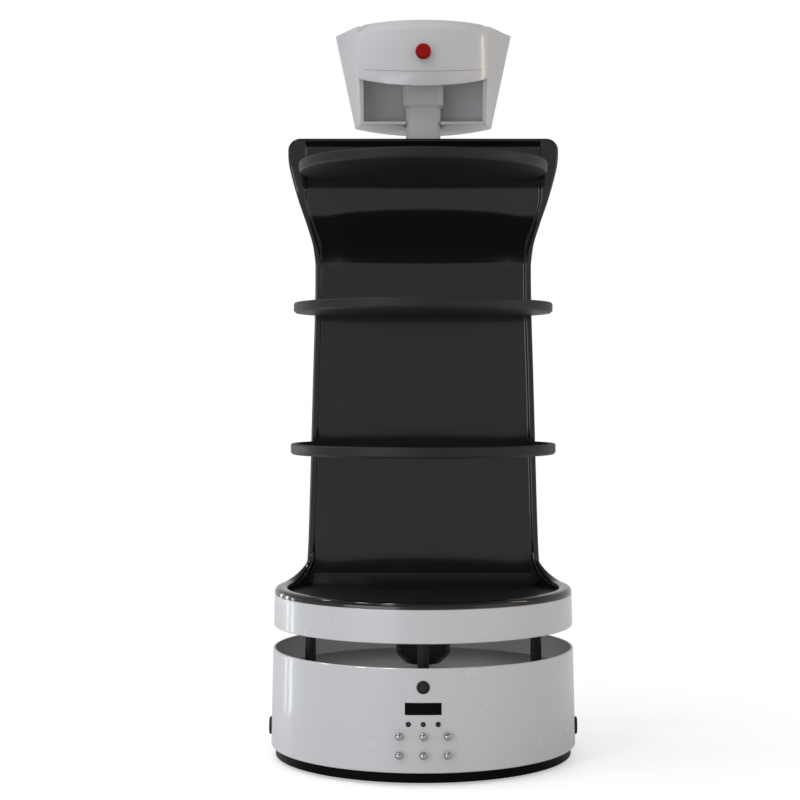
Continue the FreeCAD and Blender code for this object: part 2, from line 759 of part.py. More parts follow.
def tray_dish():
    """Base tray: a floor that sits in the collar, and a rolled rim that sits on it."""
    floor, crest, rim = size("tray_floor_z", "rim_crest_z", "rim_round")
    inner, edge = "(dims.collar_top_r - dims.rim_wide)", f"{rim} / 3"
    inside = f"{inside_r(*COLLAR, 'dims.collar_wall')} - dims.seam_gap"
    return turned("dish", [
        ("0", f"{floor} - dims.tray_floor_thick"), (inside, f"{floor} - dims.tray_floor_thick"),
        (inside, "dims.collar_top_z"), ("dims.collar_top_r", "dims.collar_top_z"),
        ("dims.collar_top_r", f"{crest} - {rim}", edge), (f"dims.collar_top_r - {rim}", crest, edge),
        (f"{inner} + {rim}", crest, edge), (inner, f"{crest} - {rim}", edge),
        (inner, floor), ("0", floor)])


COLUMN_FOOT_Z = "(dims.tray_floor_z - dims.tray_floor_thick / 2)"


def column_outline(label, inset):
    """The column as seen from behind, deep enough to reach through it, and inset all round."""
    half = [("dims.column_foot_half", COLUMN_FOOT_Z, None),
            ("dims.column_foot_half", "dims.column_upright_z", None),
            ("dims.column_waist_half", "dims.column_waist_z", "dims.column_waist_round"),
            ("dims.column_head_half", "dims.column_shoulder_z", "dims.column_shoulder_round"),
            ("dims.column_head_half", "dims.column_top_z", "dims.column_corner_round")]
    inner = [(f"{x} - {inset}", f"{z} - {inset}" if z == "dims.column_top_z" else z, r) for x, z, r in half]
    return outline_prism(label, inner)


def outline_prism(label, half):
    """A block right through the column, alike on both sides, from (across, up, round) of its right half."""
    corners = []
    for sign, order in ((1, half), (-1, half[::-1])):
        for x, z, corner_round in order:
            corner = (f"{sign} * ({x})", z)
            corners.append(corner + (corner_round,) if corner_round else corner)
    return prism(label, "XZ_Plane", corners, "dims.reach * 2", both_ways=True)


def column_front(step):
    """The panel's line from the tray floor to the column's top, stepped towards the trays."""
    return [(f"dims.panel_y - {step}", "dims.tray_floor_z", "dims.cove_round"),
            (f"dims.panel_y - {step}", "dims.lean_low_z", "dims.lean_round"),
            (f"dims.panel_head_y - {step}", "dims.lean_high_z", "dims.lean_round")]


def column_side(label, step, inset):
    """The column as seen from the side: its front line, and a back that leans in as it rises."""
    foot_z = COLUMN_FOOT_Z
    top_z = f"dims.column_top_z - {inset}"
    toe_y = f"dims.panel_y - {step} - dims.cove_round - 1"
    corners = [(toe_y, foot_z), (toe_y, "dims.tray_floor_z")] + column_front(step) + [
        (f"dims.panel_head_y - {step}", top_z),
        (f"dims.back_top_y - {inset}", top_z, "dims.back_top_round"),
        (f"dims.back_waist_y - {inset}", "dims.column_waist_z", "dims.column_waist_round"),
        (f"dims.back_foot_y - {inset}", foot_z)]
    return prism(label, "YZ_Plane", corners, "dims.reach * 2", both_ways=True)


def column_cone(label, inset):
    """The column's round back, turned about the robot's axis."""
    foot_r = f"dims.collar_top_r - dims.cone_foot_inset - {inset}"
    profile = [("0", COLUMN_FOOT_Z), (foot_r, COLUMN_FOOT_Z),
               (f"dims.cone_waist_r - {inset}", "dims.column_waist_z", "dims.column_waist_round"),
               (f"dims.cone_head_r - {inset}", "dims.column_shoulder_z"),
               (f"dims.cone_head_r - {inset}", "dims.column_top_z"), ("0", "dims.column_top_z")]
    return turned(label, profile, bevel=False)


def panel_space(label):
    """What is open in front of the panel, between the beads."""
    reach = "-dims.reach"
    corners = [(reach, "dims.tray_floor_z")] + column_front("0") + [
        ("dims.panel_head_y", "dims.column_top_z + 10"), (reach, "dims.column_top_z + 10")]
    side = prism(f"{label}_side", "YZ_Plane", corners, "dims.reach * 2", both_ways=True)
    half = [("dims.column_foot_half - dims.bead_wide", COLUMN_FOOT_Z, None),
            ("dims.column_foot_half - dims.bead_wide", "dims.column_upright_z", None),
            ("dims.column_waist_half - dims.bead_wide", "dims.column_waist_z", "dims.column_shoulder_round"),
            ("dims.opening_head_half", "dims.opening_flare_z", "dims.column_shoulder_round / 2"),
            ("dims.opening_head_half", "dims.column_top_z + 10", None)]
    return common(label, [side, outline_prism(f"{label}_front", half)])


def column():
    outer = common("column_outer", [column_outline("outline_outer", "0"),
                                    column_side("side_outer", "dims.bead_proud", "0"),
                                    column_cone("cone_outer", "0")])
    body = cut("column_body", outer, [panel_space("panel_room")])
    wall = "dims.column_wall"
    hollow = common("column_hollow", [column_outline("outline_inner", f"{wall} * 2"),
                                      column_side("side_inner", f"(-{wall})", wall),
                                      column_cone("cone_inner", wall)])
    front_half = box("front_half", ("-dims.reach", "-dims.reach", "0"),
                     ("dims.reach", "dims.cover_y", "dims.column_top_z + 10"))
    back_half = box("back_half", ("-dims.reach", "dims.cover_y + dims.seam_gap", "dims.rim_crest_z"),
                    ("dims.reach", "dims.reach", "dims.column_top_z + 10"))
    shell = cut("column_shell", body, [hollow])
    front = common("column_front_half", [shell, front_half])
    keep(fuse("tray_column", [tray_dish(), front]))
    keep(common("column_cover", [shell, back_half]))


TRAYS = [
    # name, radius, bottom, top
    ("lower", 218.0, 493.7, 510.9),
    ("middle", 213.0, 725.4, 741.6),
    ("upper", 204.6, 957.0, 973.6),
]


def column_half(at_z):
    """Half the column's width at a height below its waist."""
    return cone_r("dims.column_foot_half", "dims.column_upright_z", "dims.column_waist_half",
                  "dims.column_waist_z", at_z)


def trays():
    """Round trays with a raised rim, each trimmed to the panel and notched round its beads."""
    for name, r, low, high in TRAYS:
        for column_name, value in (("r", r), ("low_z", low), ("high_z", high)):
            row_number = len(SIZES) + 1
            SIZES.append((f"tray_{name}_{column_name}", value))
            sheet.set(f"A{row_number}", f"tray_{name}_{column_name}")
            sheet.set(f"B{row_number}", str(value))
            sheet.setAlias(f"B{row_number}", f"tray_{name}_{column_name}")
        doc.recompute()
        edge, low_z, high_z = size(f"tray_{name}_r", f"tray_{name}_low_z", f"tray_{name}_high_z")
        disc = turned(f"disc_{name}", [
            ("0", low_z), (edge, low_z, "dims.tray_edge_round * 2"),
            (edge, high_z, "dims.tray_edge_round"),
            (f"{edge} - dims.tray_rim_wide", high_z, "dims.tray_edge_round"),
            (f"{edge} - dims.tray_rim_wide", f"{high_z} - dims.tray_well_deep"),
            ("0", f"{high_z} - dims.tray_well_deep")])
        panel_y = "dims.panel_head_y" if low > number("dims.lean_high_z") else "dims.panel_y"
        half = "dims.column_head_half" if low > number("dims.lean_high_z") else column_half(high_z)
        bead_x = f"({half} - dims.bead_wide - dims.seam_gap)"
        bead_y = f"{panel_y} - dims.bead_proud - dims.seam_gap"
        behind = box(f"behind_{name}", ("-dims.reach", panel_y, f"{low_z} - 1"),
                     ("dims.reach", "dims.reach", f"{high_z} + 1"))
        left = box(f"bead_left_{name}", ("-dims.reach", bead_y, f"{low_z} - 1"),
                   (f"-{bead_x}", "dims.reach", f"{high_z} + 1"))
        right = box(f"bead_right_{name}", (bead_x, bead_y, f"{low_z} - 1"),
                    ("dims.reach", "dims.reach", f"{high_z} + 1"))
        keep(cut(f"tray_{name}", disc, [behind, left, right]))


# Neck and head

def chamfered(label, wide, deep, corner, low_z, high_z):
    """An upright post of rectangular section with cut corners."""
    half_x, half_y = f"{wide} / 2", f"{deep} / 2"
    corners = []
    for sx, sy, first in ((1, -1, "y"), (1, 1, "x"), (-1, 1, "y"), (-1, -1, "x")):
        on_side = (f"{sx} * ({half_x})", f"{sy} * ({half_y} - {corner})")
        on_end = (f"{sx} * ({half_x} - {corner})", f"{sy} * ({half_y})")
        corners += [on_end, on_side] if first == "y" else [on_side, on_end]
    body = prism(label, "XY_Plane", corners, f"{high_z} - {low_z}")
    return place(body, y="dims.neck_y", z=low_z)


def face_box(label, behind, ahead):
    """A slab parallel to the screen, from one distance behind the face to another."""
    slab = solid("Box", label, x="-dims.reach", z="0", Length="dims.reach * 2",
                 Width=f"({behind}) - ({ahead})", Height="dims.reach * 2")
    foot = "dims.reach"
    turn = ((1, 0, 0), "dims.face_tilt")
    back = f"({behind})"
    return place(slab, "-dims.reach",
                 f"dims.face_foot_y - {back} * cos(dims.face_tilt) + {foot} * sin(dims.face_tilt)",
                 f"dims.face_foot_z - {back} * sin(dims.face_tilt) - {foot} * cos(dims.face_tilt)", turn)


def neck():
    keep(chamfered("neck_post", "dims.neck_wide", "dims.neck_deep", "dims.neck_corner",
                   "dims.column_top_z", "dims.sleeve_z"))
    sleeve = chamfered("sleeve_blank", "dims.sleeve_wide", "dims.sleeve_deep", "dims.neck_corner",
                       "dims.sleeve_z", "dims.sleeve_top_z")
    keep(cut("neck_sleeve", sleeve, [face_box("sleeve_trim", "dims.screen_unit_deep", "-200")]))


def face_corners(inset):
    foot, top = f"dims.face_foot_half - ({inset})", f"dims.face_top_half - ({inset})"
    high = f"dims.face_high - ({inset})"
    return [(f"-({foot})", inset), (foot, inset), (top, high), (f"-({top})", high)]


FACE_BOW = {0: "(dims.face_foot_half ^ 2 + dims.face_bow ^ 2) / (2 * dims.face_bow)"}


def on_face(label, sunk, inset, thick):
    """A plate of the face's outline, whose front lies a distance behind the face."""
    body = new_body(label)
    outline = draw(body, f"{label}_outline", "XZ_Plane", face_corners(inset), FACE_BOW,
                   lift=("0", "dims.face_foot_z", "-dims.face_foot_y"), tilt="dims.face_tilt")
    pad(body, outline, thick, back=False)
    return place(body, y=f"-({sunk}) * cos(dims.face_tilt)", z=f"-({sunk}) * sin(dims.face_tilt)")


HEAD_ROOF_Z = "(dims.face_foot_z + dims.face_high * cos(dims.face_tilt))"


def head():
    body = new_body("head_loft")
    nape = draw(body, "nape_outline", "XZ_Plane", [
        ("-dims.nape_foot_half", "0"), ("dims.nape_foot_half", "0"),
        ("dims.nape_top_half", "dims.nape_high"), ("-dims.nape_top_half", "dims.nape_high")],
        lift=("0", "dims.nape_foot_z", "-dims.nape_foot_y"), tilt="dims.nape_tilt")
    face = draw(body, "face_outline", "XZ_Plane", face_corners("0"), FACE_BOW,
                lift=("0", "dims.face_foot_z - dims.bezel_thick * sin(dims.face_tilt)",
                      "-(dims.face_foot_y - dims.bezel_thick * cos(dims.face_tilt))"),
                tilt="dims.face_tilt")
    loft = body.newObject("PartDesign::AdditiveLoft", "head_form")
    loft.Profile = nape
    loft.Sections = [face]
    loft.Ruled = True
    crown_centre = "dims.crown_back_y + dims.crown_r"
    crown = crown_disc("crown_outer", "0")
    crown = common("crown_cap", [place(crown, y=crown_centre), crown_bounds("crown_bounds", "0")])
    outer = fuse("head_outer", [body, crown])
    hollow = fuse("head_hollow", [head_room("head_room"), crown_room("crown_room"), neck_way("neck_way")])
    stop_hole = stub("stop_hole", "0", "dims.stop_z", "dims.stop_collar_r + dims.control_clear",
                     "dims.head_wall * 3", "dims.crown_back_y - dims.head_wall")
    keep(cut("head_shell", outer, [hollow, stop_hole]))


def crown_disc(label, inset):
    """The rounded nape cap as a full disc, with a tucked band along its lip."""
    r = f"dims.crown_r - {inset}"
    return turned(label, [
        ("0", "dims.crown_lip_z - 5"), (f"{r} - dims.crown_tuck", "dims.crown_lip_z - 5"),
        (r, "dims.crown_crease_z"), (r, f"dims.crown_top_z - {inset}", "dims.crown_round"),
        ("0", f"dims.crown_top_z - {inset}")])


def crown_bounds(label, inset):
    """Where the cap is: behind the nape, and above a lip that rises towards its ends."""
    low = f"dims.crown_lip_z + {inset}"
    run = "dims.nape_foot_y - dims.crown_back_y"
    return prism(label, "YZ_Plane", [
        (f"dims.crown_back_y - 5 + {inset}", f"{low} - 5 * tan(dims.crown_lip_slope)"),
        ("dims.nape_foot_y", f"{low} + ({run}) * tan(dims.crown_lip_slope)"),
        ("dims.nape_foot_y", "dims.crown_top_z + 10"),
        (f"dims.crown_back_y - 5 + {inset}", "dims.crown_top_z + 10")],
        f"2 * (dims.nape_top_half - {inset})", both_ways=True)


def head_room(label):
    """The open room inside the head, back to the plate behind the screen unit."""
    wall = "dims.head_wall"
    behind = "dims.screen_unit_deep"
    top_z = f"{HEAD_ROOF_Z} - {wall}"
    face_y = "dims.face_foot_y - {0} / cos(dims.face_tilt) - ({1} - dims.face_foot_z) * tan(dims.face_tilt)"
    low_z = f"dims.nape_foot_z + {wall}"
    half = f"(dims.nape_foot_half - {wall})"
    back_y = f"dims.crown_back_y + dims.crown_r - sqrt(dims.crown_r ^ 2 - {half} ^ 2) + {wall} * 2"
    return prism(label, "YZ_Plane", [
        ("dims.crown_back_y - 60", low_z), (face_y.format(behind, low_z), low_z),
        (face_y.format(behind, top_z), top_z), (back_y, top_z), (back_y, "dims.crown_lip_z + 10"),
        ("dims.crown_back_y - 60", "dims.crown_lip_z - 30")],
        f"2 * {half}", both_ways=True)


def crown_room(label):
    """The hollow under the cap."""
    disc = place(crown_disc(f"{label}_disc", "dims.head_wall"), y="dims.crown_back_y + dims.crown_r")
    block = box(f"{label}_block",
                (f"-dims.nape_foot_half + dims.head_wall", "0", "dims.crown_lip_z - 5"),
                (f"dims.nape_foot_half - dims.head_wall", "dims.nape_foot_y + 5",
                 f"{HEAD_ROOF_Z} - dims.head_wall"))
    return common(label, [disc, block])


def neck_way(label):
    """The notch in the head's floor that the neck passes."""
    half = "(dims.neck_wide / 2 + dims.seam_gap)"
    deep = "(dims.neck_deep / 2 + dims.seam_gap)"
    return box(label, (f"-{half}", "0", "dims.nape_foot_z - 30"),
               (half, f"dims.neck_y + {deep}", "dims.nape_foot_z + 20"))


def screen():
    inset = "dims.bezel_inset"
    bezel = on_face("bezel_blank", "0", inset, "dims.bezel_thick")
    pocket = on_face("glass_pocket", "-dims.glass_thick", "dims.bezel_margin",
                     "dims.glass_thick * 2 + dims.running_clear")
    keep(cut("screen_bezel", bezel, [pocket]))
    keep(on_face("screen_glass", "dims.glass_sunk", "dims.bezel_margin + dims.control_clear",
                 "dims.glass_thick - dims.glass_sunk"))


def stop_button():
    seat = "dims.crown_back_y"
    keep(place(turned("stop_collar", [
        ("0", f"{seat} + dims.head_wall"), ("dims.stop_collar_r", f"{seat} + dims.head_wall"),
        ("dims.stop_collar_r", f"{seat} - dims.stop_proud / 2"), ("0", f"{seat} - dims.stop_proud / 2")],
        "Y_Axis"), z="dims.stop_z"))
    keep(place(turned("stop_button", [
        ("0", f"{seat} - dims.stop_proud / 2"), ("dims.stop_r", f"{seat} - dims.stop_proud / 2", "1"),
        ("dims.stop_r", f"{seat} - dims.stop_proud", "2.5"), ("0", f"{seat} - dims.stop_proud")],
        "Y_Axis"), z="dims.stop_z"))


def write_parts():
    doc.recompute()
    for thing in doc.Objects:
        bad = [word for word in thing.State if word in ("Invalid", "Error")]
        if bad:
            raise RuntimeError(f"{thing.Label}: {bad}")
    os.makedirs("parts", exist_ok=True)
    for thing in kept:
        shape = thing.Shape
        if shape.isNull() or not shape.isValid() or not shape.Solids:
            raise RuntimeError(f"{thing.Label} is not a valid solid")
        shape.exportStep(f"parts/{thing.Label}.step")
        print(f"{thing.Label}: {len(shape.Solids)} solid(s), {shape.Volume / 1000:.1f} cm3")


base_shell()
power_button()
status_window()
sockets()
charge_contacts()
side_caps()
deck()
chassis()
skirt()
battery()
drive_wheels()
casters()
posts()
scanner()
collar()
column()
trays()
neck()
head()
screen()
stop_button()
write_parts()
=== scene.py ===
"""Tray delivery robot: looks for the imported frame, seen from behind in a white studio.

Metres. The frame is the CAD one: origin on the floor under the base, +Z up, +Y the way it drives.
"""

from __future__ import annotations

import json
import logging
import math
from dataclasses import dataclass, field
from enum import Enum
from typing import Callable, Iterable, Sequence

import bmesh
import bpy
from mathutils import Euler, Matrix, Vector

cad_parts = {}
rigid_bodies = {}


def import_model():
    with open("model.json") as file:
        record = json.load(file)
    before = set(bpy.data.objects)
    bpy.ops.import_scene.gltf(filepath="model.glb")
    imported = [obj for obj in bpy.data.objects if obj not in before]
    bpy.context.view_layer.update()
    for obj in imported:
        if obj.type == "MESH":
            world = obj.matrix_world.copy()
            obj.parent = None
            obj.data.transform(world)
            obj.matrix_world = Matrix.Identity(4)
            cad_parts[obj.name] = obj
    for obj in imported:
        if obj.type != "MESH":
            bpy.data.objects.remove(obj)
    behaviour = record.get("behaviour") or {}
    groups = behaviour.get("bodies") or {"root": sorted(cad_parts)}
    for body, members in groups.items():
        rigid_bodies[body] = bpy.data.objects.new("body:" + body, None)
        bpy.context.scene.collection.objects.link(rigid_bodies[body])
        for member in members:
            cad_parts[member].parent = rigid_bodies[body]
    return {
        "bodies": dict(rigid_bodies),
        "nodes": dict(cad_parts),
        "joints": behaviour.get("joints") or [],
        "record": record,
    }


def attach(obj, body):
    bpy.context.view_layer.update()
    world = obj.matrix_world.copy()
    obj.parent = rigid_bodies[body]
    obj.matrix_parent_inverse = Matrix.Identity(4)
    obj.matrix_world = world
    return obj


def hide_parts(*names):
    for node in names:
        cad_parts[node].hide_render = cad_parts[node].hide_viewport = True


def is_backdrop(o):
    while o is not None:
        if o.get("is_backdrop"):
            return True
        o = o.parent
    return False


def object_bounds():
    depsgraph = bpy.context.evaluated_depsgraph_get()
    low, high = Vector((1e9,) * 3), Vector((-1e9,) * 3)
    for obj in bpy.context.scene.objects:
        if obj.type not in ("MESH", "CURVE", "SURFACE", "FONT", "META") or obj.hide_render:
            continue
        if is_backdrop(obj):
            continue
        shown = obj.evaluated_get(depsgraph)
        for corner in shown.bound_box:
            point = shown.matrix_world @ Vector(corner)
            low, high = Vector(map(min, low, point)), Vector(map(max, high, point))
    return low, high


LOG = logging.getLogger("robot")
Point2 = tuple[float, float]
Point3 = tuple[float, float, float]
Colour = tuple[float, float, float]


class Slot(Enum):
    """Material slots of the record."""

    WHITE = "white_shell"
    GLOSS = "black_gloss"
    SATIN = "satin_black"
    WINDOW = "black_window"
    PLATE = "dark_plate"
    BATTERY = "battery_case"
    CONTACT = "contact_metal"
    NECK = "grey_neck"
    SCREEN = "screen_glass"
    RED = "red_button"
    TYRE = "tyre"
    HUB = "wheel_hub"
    STEEL = "bracket_steel"
    CASTER = "caster_tread"


class Grain(Enum):
    """What a surface shows close up."""

    PEEL = "the shallow waves of a gloss finish"
    SPARK = "the fine pits of a satin moulding"
    BRUSHED = "long scratches along one way"
    RUBBER = "soft speckle"


# Shaders


class Value:
    """A number socket that takes part in arithmetic."""

    def __init__(self, graph: Graph, socket: bpy.types.NodeSocket) -> None:
        """Wrap a socket of a graph."""
        self.graph = graph
        self.socket = socket

    def _join(self, kind: str, left: Value | float, right: Value | float) -> Value:
        """Add one Math node.

        Args:
            kind: the Math node's operation.
            left: first value.
            right: second value.

        Returns:
            The node's result.
        """
        return self.graph.add("ShaderNodeMath", {"operation": kind}, {0: left, 1: right}).value(0)

    def __add__(self, other: Value | float) -> Value:
        """Sum."""
        return self._join("ADD", self, other)

    def __radd__(self, other: float) -> Value:
        """Sum with a number on the left."""
        return self._join("ADD", other, self)

    def __sub__(self, other: Value | float) -> Value:
        """Difference."""
        return self._join("SUBTRACT", self, other)

    def __rsub__(self, other: float) -> Value:
        """Difference from a number on the left."""
        return self._join("SUBTRACT", other, self)

    def __mul__(self, other: Value | float) -> Value:
        """Product."""
        return self._join("MULTIPLY", self, other)

    def __rmul__(self, other: float) -> Value:
        """Product with a number on the left."""
        return self._join("MULTIPLY", other, self)


class Placed:
    """A node that has been added to a graph."""

    def __init__(self, graph: Graph, node: bpy.types.Node) -> None:
        """Remember the graph and the node."""
        self.graph = graph
        self.node = node

    def value(self, name: str | int) -> Value:
        """One of the node's outputs as a number."""
        return Value(self.graph, self.node.outputs[name])

    def out(self, name: str | int) -> bpy.types.NodeSocket:
        """One of the node's outputs as a bare socket."""
        return self.node.outputs[name]


class Graph:
    """The node tree of one material or world."""

    def __init__(self, tree: bpy.types.NodeTree) -> None:
        """Empty the tree."""
        self.tree = tree
        tree.nodes.clear()

    def add(self, kind: str, settings: dict | None = None, inputs: dict | None = None) -> Placed:
        """Add a node.

        Args:
            kind: the node's type.
            settings: properties, set before the inputs; "stops" holds a ramp's (place, grey) pairs.
            inputs: values or links by socket name or number.

        Returns:
            The node in its wrapper.
        """
        node = self.tree.nodes.new(kind)
        for name, setting in (settings or {}).items():
            if name == "stops":
                ramp = node.color_ramp
                for stop, (place, grey) in zip(ramp.elements, setting):
                    stop.position, stop.color = place, (grey, grey, grey, 1)
            else:
                setattr(node, name, setting)
        for name, given in (inputs or {}).items():
            socket = node.inputs[name]
            if isinstance(given, Value):
                given = given.socket
            if isinstance(given, bpy.types.NodeSocket):
                self.tree.links.new(given, socket)
            else:
                socket.default_value = given
        return Placed(self, node)


@dataclass(frozen=True)
class Finish:
    """One procedural surface.

    The two colours and the two roughnesses are the ends that a slow noise moves between.
    """

    slot: Slot
    colour: Colour
    shade: Colour
    roughness: tuple[float, float]
    grain: Grain = Grain.PEEL
    grain_scale: float = 60.0
    grain_depth: float = 0.02
    metallic: float = 0.0
    coat: float = 0.0
    coat_roughness: float = 0.05
    specular: float = 0.5
    wear_scale: float = 9.0

    def build(self) -> bpy.types.Material:
        """Make the material.

        Returns:
            A material with a Principled surface.
        """
        material = bpy.data.materials.new(self.slot.value)
        material.use_nodes = True
        graph = Graph(material.node_tree)
        place = graph.add("ShaderNodeTexCoord").out("Object")
        slow = graph.add("ShaderNodeTexNoise", {"noise_dimensions": "3D"},
                         {"Vector": place, "Scale": self.wear_scale, "Detail": 4.0, "Roughness": 0.6})
        mask = graph.add("ShaderNodeValToRGB", {"stops": ((0.3, 0.0), (0.7, 1.0))},
                         {"Fac": slow.value("Fac")})
        tint = graph.add("ShaderNodeMix", {"data_type": "RGBA"}, {
            0: mask.out("Color"), 6: (*self.colour, 1), 7: (*self.shade, 1)})
        low, high = self.roughness
        rough = graph.add("ShaderNodeTexNoise", {}, {"Vector": place, "Scale": self.wear_scale * 3.1,
                                                     "Detail": 3.0}).value("Fac")
        gloss = low + (high - low) * rough
        bump = graph.add("ShaderNodeBump", {}, {
            "Height": self._height(graph, place), "Strength": self.grain_depth, "Distance": 0.001})
        surface = graph.add("ShaderNodeBsdfPrincipled", {}, {
            "Base Color": tint.out(2), "Roughness": gloss, "Normal": bump.out("Normal"),
            "Metallic": self.metallic, "Coat Weight": self.coat, "Coat Roughness": self.coat_roughness,
            "Specular IOR Level": self.specular})
        graph.add("ShaderNodeOutputMaterial", {}, {"Surface": surface.out("BSDF")})
        return material

    def _height(self, graph: Graph, place: bpy.types.NodeSocket) -> Value:
        """Height of the close-up grain.

        Args:
            graph: the material's nodes.
            place: object coordinates.

        Returns:
            The height from 0 to 1.
        """
        if self.grain is Grain.BRUSHED:
            place = graph.add("ShaderNodeMapping", {}, {"Vector": place, "Scale": (1.0, 1.0, 0.04)}).out(0)
        if self.grain is Grain.SPARK:
            cells = graph.add("ShaderNodeTexVoronoi", {"feature": "F1"},
                              {"Vector": place, "Scale": self.grain_scale * 10})
            return cells.value("Distance")
        detail = 6.0 if self.grain is Grain.RUBBER else 1.5
        noise = graph.add("ShaderNodeTexNoise", {}, {"Vector": place, "Scale": self.grain_scale,
                                                     "Detail": detail})
        return noise.value("Fac")


FINISHES = (
    Finish(Slot.WHITE, (0.555, 0.557, 0.575), (0.548, 0.550, 0.567), (0.22, 0.30), grain_scale=30,
           grain_depth=0.001, coat=0.35, coat_roughness=0.08),
    Finish(Slot.GLOSS, (0.0065, 0.0065, 0.007), (0.008, 0.008, 0.0085), (0.10, 0.16), grain_scale=22,
           grain_depth=0.012, coat=0.25, coat_roughness=0.04, specular=0.35),
    Finish(Slot.SATIN, (0.014, 0.014, 0.015), (0.018, 0.018, 0.019), (0.42, 0.52), Grain.SPARK,
           grain_depth=0.10, specular=0.24),
    Finish(Slot.WINDOW, (0.0025, 0.0025, 0.003), (0.003, 0.003, 0.0035), (0.30, 0.36), specular=0.04),
    Finish(Slot.PLATE, (0.120, 0.113, 0.102), (0.135, 0.127, 0.115), (0.26, 0.36), Grain.SPARK,
           grain_depth=0.06, specular=0.5),
    Finish(Slot.BATTERY, (0.03, 0.03, 0.032), (0.04, 0.04, 0.042), (0.5, 0.6), Grain.SPARK, grain_depth=0.15),
    Finish(Slot.CONTACT, (0.46, 0.46, 0.455), (0.42, 0.42, 0.415), (0.16, 0.24), Grain.BRUSHED,
           grain_scale=400, grain_depth=0.03, metallic=1.0),
    Finish(Slot.NECK, (0.54, 0.54, 0.555), (0.51, 0.51, 0.525), (0.38, 0.46), Grain.SPARK, grain_depth=0.08),
    Finish(Slot.SCREEN, (0.004, 0.004, 0.005), (0.005, 0.005, 0.006), (0.03, 0.05),
           grain_depth=0.004, coat=1.0, coat_roughness=0.02),
    Finish(Slot.RED, (0.31, 0.006, 0.007), (0.27, 0.005, 0.006), (0.34, 0.42),
           grain_depth=0.02, specular=0.08),
    Finish(Slot.TYRE, (0.016, 0.016, 0.016), (0.024, 0.023, 0.022), (0.72, 0.86), Grain.RUBBER,
           grain_scale=500, grain_depth=0.3, specular=0.3),
    Finish(Slot.HUB, (0.14, 0.14, 0.145), (0.12, 0.12, 0.125), (0.40, 0.50), Grain.SPARK, grain_depth=0.1),
    Finish(Slot.STEEL, (0.56, 0.56, 0.57), (0.48, 0.48, 0.49), (0.28, 0.40), Grain.BRUSHED,
           grain_scale=350, grain_depth=0.06, metallic=1.0),
    Finish(Slot.CASTER, (0.10, 0.10, 0.105), (0.12, 0.12, 0.125), (0.60, 0.72), Grain.RUBBER,
           grain_scale=420, grain_depth=0.2),
)


# Meshes


class Curve:
    """A smooth line through points that never overshoots between them."""

    def __init__(self, points: Sequence[Point2]) -> None:
        """Work out each point's slope.

        Args:
            points: (place, value) pairs in rising order of place.
        """
        self.points = list(points)
        steps = [(b[1] - a[1]) / (b[0] - a[0]) for a, b in zip(points, points[1:])]
        self.slopes = [steps[0]]
        for before, after in zip(steps, steps[1:]):
            self.slopes.append(0.0 if before * after <= 0 else 2 * before * after / (before + after))
        self.slopes.append(steps[-1])

    def at(self, place: float) -> float:
        """Value at a place, held at the ends.

        Args:
            place: where on the line.

        Returns:
            The value there.
        """
        points = self.points
        if place <= points[0][0]:
            return points[0][1]
        if place >= points[-1][0]:
            return points[-1][1]
        i = max(k for k, point in enumerate(points) if point[0] <= place)
        (a, va), (b, vb) = points[i], points[i + 1]
        run = b - a
        t = (place - a) / run
        ease = t * t * (3 - 2 * t)
        lead = t * (1 - t) ** 2 * self.slopes[i]
        trail = t * t * (1 - t) * self.slopes[i + 1]
        return va + (vb - va) * ease + run * (lead - trail)


def eased(start: float, end: float, place: float) -> float:
    """Smooth step from 0 to 1.

    Args:
        start: place where it is still 0.
        end: place where it has become 1.
        place: where it is asked for.

    Returns:
        The step's value.
    """
    t = min(max((place - start) / (end - start), 0.0), 1.0)
    return t * t * (3 - 2 * t)


def rounded(corners: Sequence[tuple[float, float, float]], steps: int = 6) -> list[Point2]:
    """A closed outline with round corners.

    Args:
        corners: (across, up, round) of each corner, in order.
        steps: runs that make up each round.

    Returns:
        The outline's points, the same number for each corner with a round.
    """
    outline: list[Point2] = []
    count = len(corners)
    for i, (x, y, radius) in enumerate(corners):
        spot = Vector((x, y))
        before = Vector(corners[i - 1][:2]) - spot
        after = Vector(corners[(i + 1) % count][:2]) - spot
        if radius <= 0:
            outline.append((x, y))
            continue
        angle = before.angle(after)
        reach = min(radius / math.tan(angle / 2), before.length * 0.49, after.length * 0.49)
        a, b = spot + before.normalized() * reach, spot + after.normalized() * reach
        for k in range(steps + 1):
            t = k / steps
            bend = a * (1 - t) ** 2 + spot * 2 * t * (1 - t) + b * t * t
            arc = bend * 0.83 + (a * (1 - t) + b * t) * 0.17
            outline.append(tuple(arc if 0 < k < steps else bend))
    return outline


